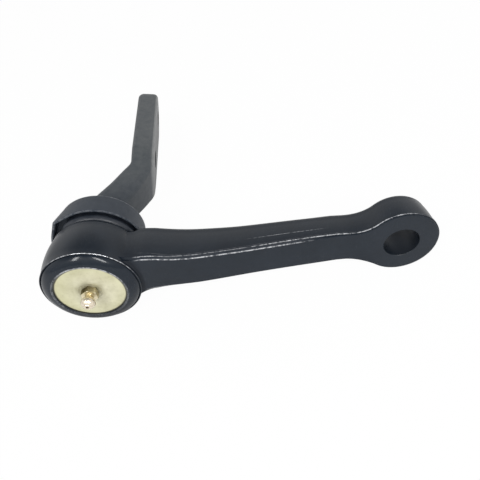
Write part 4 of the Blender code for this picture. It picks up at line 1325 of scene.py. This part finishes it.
def sunken(shape):
    for point in shape.verts:
        radius = math.hypot(point.co.x, point.co.z)
        angle = math.degrees(math.atan2(point.co.z, point.co.x))
        deep = ease(*SINK_ANGLES, angle) * ease(*SINK_RADII, radius) * SINK
        point.co.x *= 1 - deep / radius
        point.co.z *= 1 - deep / radius
    return shape


seal_shape = sunken(turned(seal_profile(), steps=144, closed=True))
seal = make_piece("dust_seal_ring", seal_shape, arm_frame, sharp=50)
finish_piece(seal, "arm_body", ["dust_seal"], rubber)

# %% [markdown]
# ## Pieces that keep their solids
#
# What lies behind the cap is already the right shape, so those solids stay as they are and only get their
# metals. Their objects sit at the origin and the patterns start from the pivot, so the turned grain runs round
# the right axis on them too.

# %% Dress the hidden solids
METALS = {
    "bearing_cone": ground_steel,
    "check_ball": ground_steel,
    "retaining_ring": spring_steel,
    "preload_spring": spring_steel,
    "check_spring": spring_steel,
    "cone_seat": bronze,
    "rear_bush": bronze,
    "pressure_pad": bronze,
}
for name, metal in METALS.items():
    node = frame["nodes"][name]
    node.data.materials.clear()
    node.data.materials.append(metal)
print("dressed", len(METALS), "hidden solids")

# %% [markdown]
# ## A pale floor
#
# The floor is pale, as in a catalogue picture. The camera sees it almost white, through Light Path, while it
# still takes the object's shadow, and its plain grey is what lights the object from below.

# %% Lay the floor
WHITE = (1.0, 1.0, 1.0)
FLOOR_GREY = (0.80, 0.80, 0.80)
FLOOR_SIZE, FLOOR_DROP = 3.0, 0.4 * MM
SEEN_AS_WHITE, MIRRORED_AS_WHITE = 0.97, 0.2  # shares, for the camera and for glossy and clear surfaces


def pale_floor():
    paint = Paint("studio_floor")
    paint.set(base_color=FLOOR_GREY, roughness=0.9)
    kinds = ("Is Camera Ray", "Is Glossy Ray", "Is Transmission Ray")
    camera_ray, glossy_ray, clear_ray = (paint.node("ShaderNodeLightPath", {}, {}, kind) for kind in kinds)
    share = camera_ray * SEEN_AS_WHITE + (glossy_ray + clear_ray) * MIRRORED_AS_WHITE
    surface = Signal(paint, paint.shader.outputs[0])
    glow = paint.node("ShaderNodeEmission", {}, {"Color": WHITE, "Strength": 1.0})
    mixed = paint.node("ShaderNodeMixShader", {}, {0: share, 1: surface, 2: glow})
    paint.feed(paint.tree.nodes["Material Output"].inputs["Surface"], mixed)
    return paint.material


floor_shape = bmesh.new()
bmesh.ops.create_grid(floor_shape, x_segments=1, y_segments=1, size=FLOOR_SIZE)
floor = make_piece("studio_floor", floor_shape, Matrix.Translation((0, 0, -FLOOR_DROP)))
floor.data.materials.append(pale_floor())
floor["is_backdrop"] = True
print("floor laid")

# %% [markdown]
# ## Room and lamps
#
# Dark satin paint shows mostly what is round it, so a bright even room is what turns it grey. The world is
# that room: bright in a band above the horizon and darker overhead, and plain white to the camera. Two tall
# narrow lamps high in front put small lights on the rolled lip, and a soft box between them evens them out.

# %% Light the room
ROOM_BY_HEIGHT = [(0.0, 0.60), (0.2, 0.84), (0.4, 1.0), (0.56, 1.0), (0.70, 0.57), (0.87, 0.37), (1.0, 0.32)]
LAMP_DISTANCE = 1.0
NARROW, WIDE = (0.11, 0.52), (0.60, 0.40)  # lamp sizes in metres


def light_room():
    world = bpy.data.worlds.new("studio")
    world.use_nodes = True
    room = Bench(world.node_tree)
    direction = room.node("ShaderNodeTexCoord", {}, {}, "Generated")
    height = room.node("ShaderNodeSeparateXYZ", {}, {0: direction}, "Z")
    stops = [(position, (level, level, level)) for position, level in ROOM_BY_HEIGHT]
    walls = room.node("ShaderNodeValToRGB", {"stops": stops}, {"Fac": height})
    to_camera = room.node("ShaderNodeLightPath", {}, {}, "Is Camera Ray")
    room.feed(room.tree.nodes["Background"].inputs["Color"], room.mix(to_camera, walls, WHITE))
    bpy.context.scene.world = world


def add_lamp(name, direction, size, power):
    """A lamp in this direction from the rolled lip, and facing it."""
    aim = pivot + Vector((0, 0, 20 * MM))
    data = bpy.data.lights.new(name, "AREA")
    data.shape = "RECTANGLE"
    data.size, data.size_y = size
    data.energy = power
    lamp = bpy.data.objects.new(name, data)
    lamp.location = aim + Vector(direction).normalized() * LAMP_DISTANCE
    lamp.rotation_euler = (aim - lamp.location).to_track_quat("-Z", "Y").to_euler()
    bpy.context.scene.collection.objects.link(lamp)


light_room()
add_lamp("left_lamp", (-0.28, -0.62, 0.73), NARROW, 3.6)
add_lamp("right_lamp", (0.45, -0.66, 0.60), NARROW, 4.4)
add_lamp("soft_box", (0.10, -0.64, 0.70), WIDE, 0.5)
print("room lit")

# %% [markdown]
# ## The camera
#
# The photograph's rim, cap, eye and strap edges are circles and lines of known sizes. Fitting a camera to
# them gave its place and its lens, in the arm's own frame.

# %% Place the camera
LENS, SENSOR = 35.24, 36
CAMERA_PLACE = (94.26 * MM, -162.92 * MM, 183.30 * MM)
CAMERA_TURNS = (("Z", -3.829), ("Y", 7.757), ("X", 44.882))  # degrees, each about the axes that the last one left

camera_data = bpy.data.cameras.new("camera")
camera_data.lens, camera_data.sensor_width = LENS, SENSOR
camera_data.clip_start, camera_data.clip_end = 0.01, 20
camera = bpy.data.objects.new("camera", camera_data)
stand = Matrix.Translation(CAMERA_PLACE)
for axis, angle in CAMERA_TURNS:
    stand = stand @ Matrix.Rotation(math.radians(angle), 4, axis)
camera.matrix_world = arm_frame @ stand
bpy.context.scene.collection.objects.link(camera)
bpy.context.scene.camera = camera
bpy.context.scene.view_settings.view_transform = "Standard"
print("camera at", camera.location * 1000, "mm")

# %% [markdown]
# ## A last look at the sizes
#
# Dressing the solids mustn't change how big the part is, so the two boxes are written side by side.

# %% Compare the sizes and finish
low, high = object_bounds()
for letter, first, second in zip("XYZ", high - low, cad_high - cad_low):
    print(f"{letter}: dressed {first * 1000:.2f} mm, solids {second * 1000:.2f} mm")
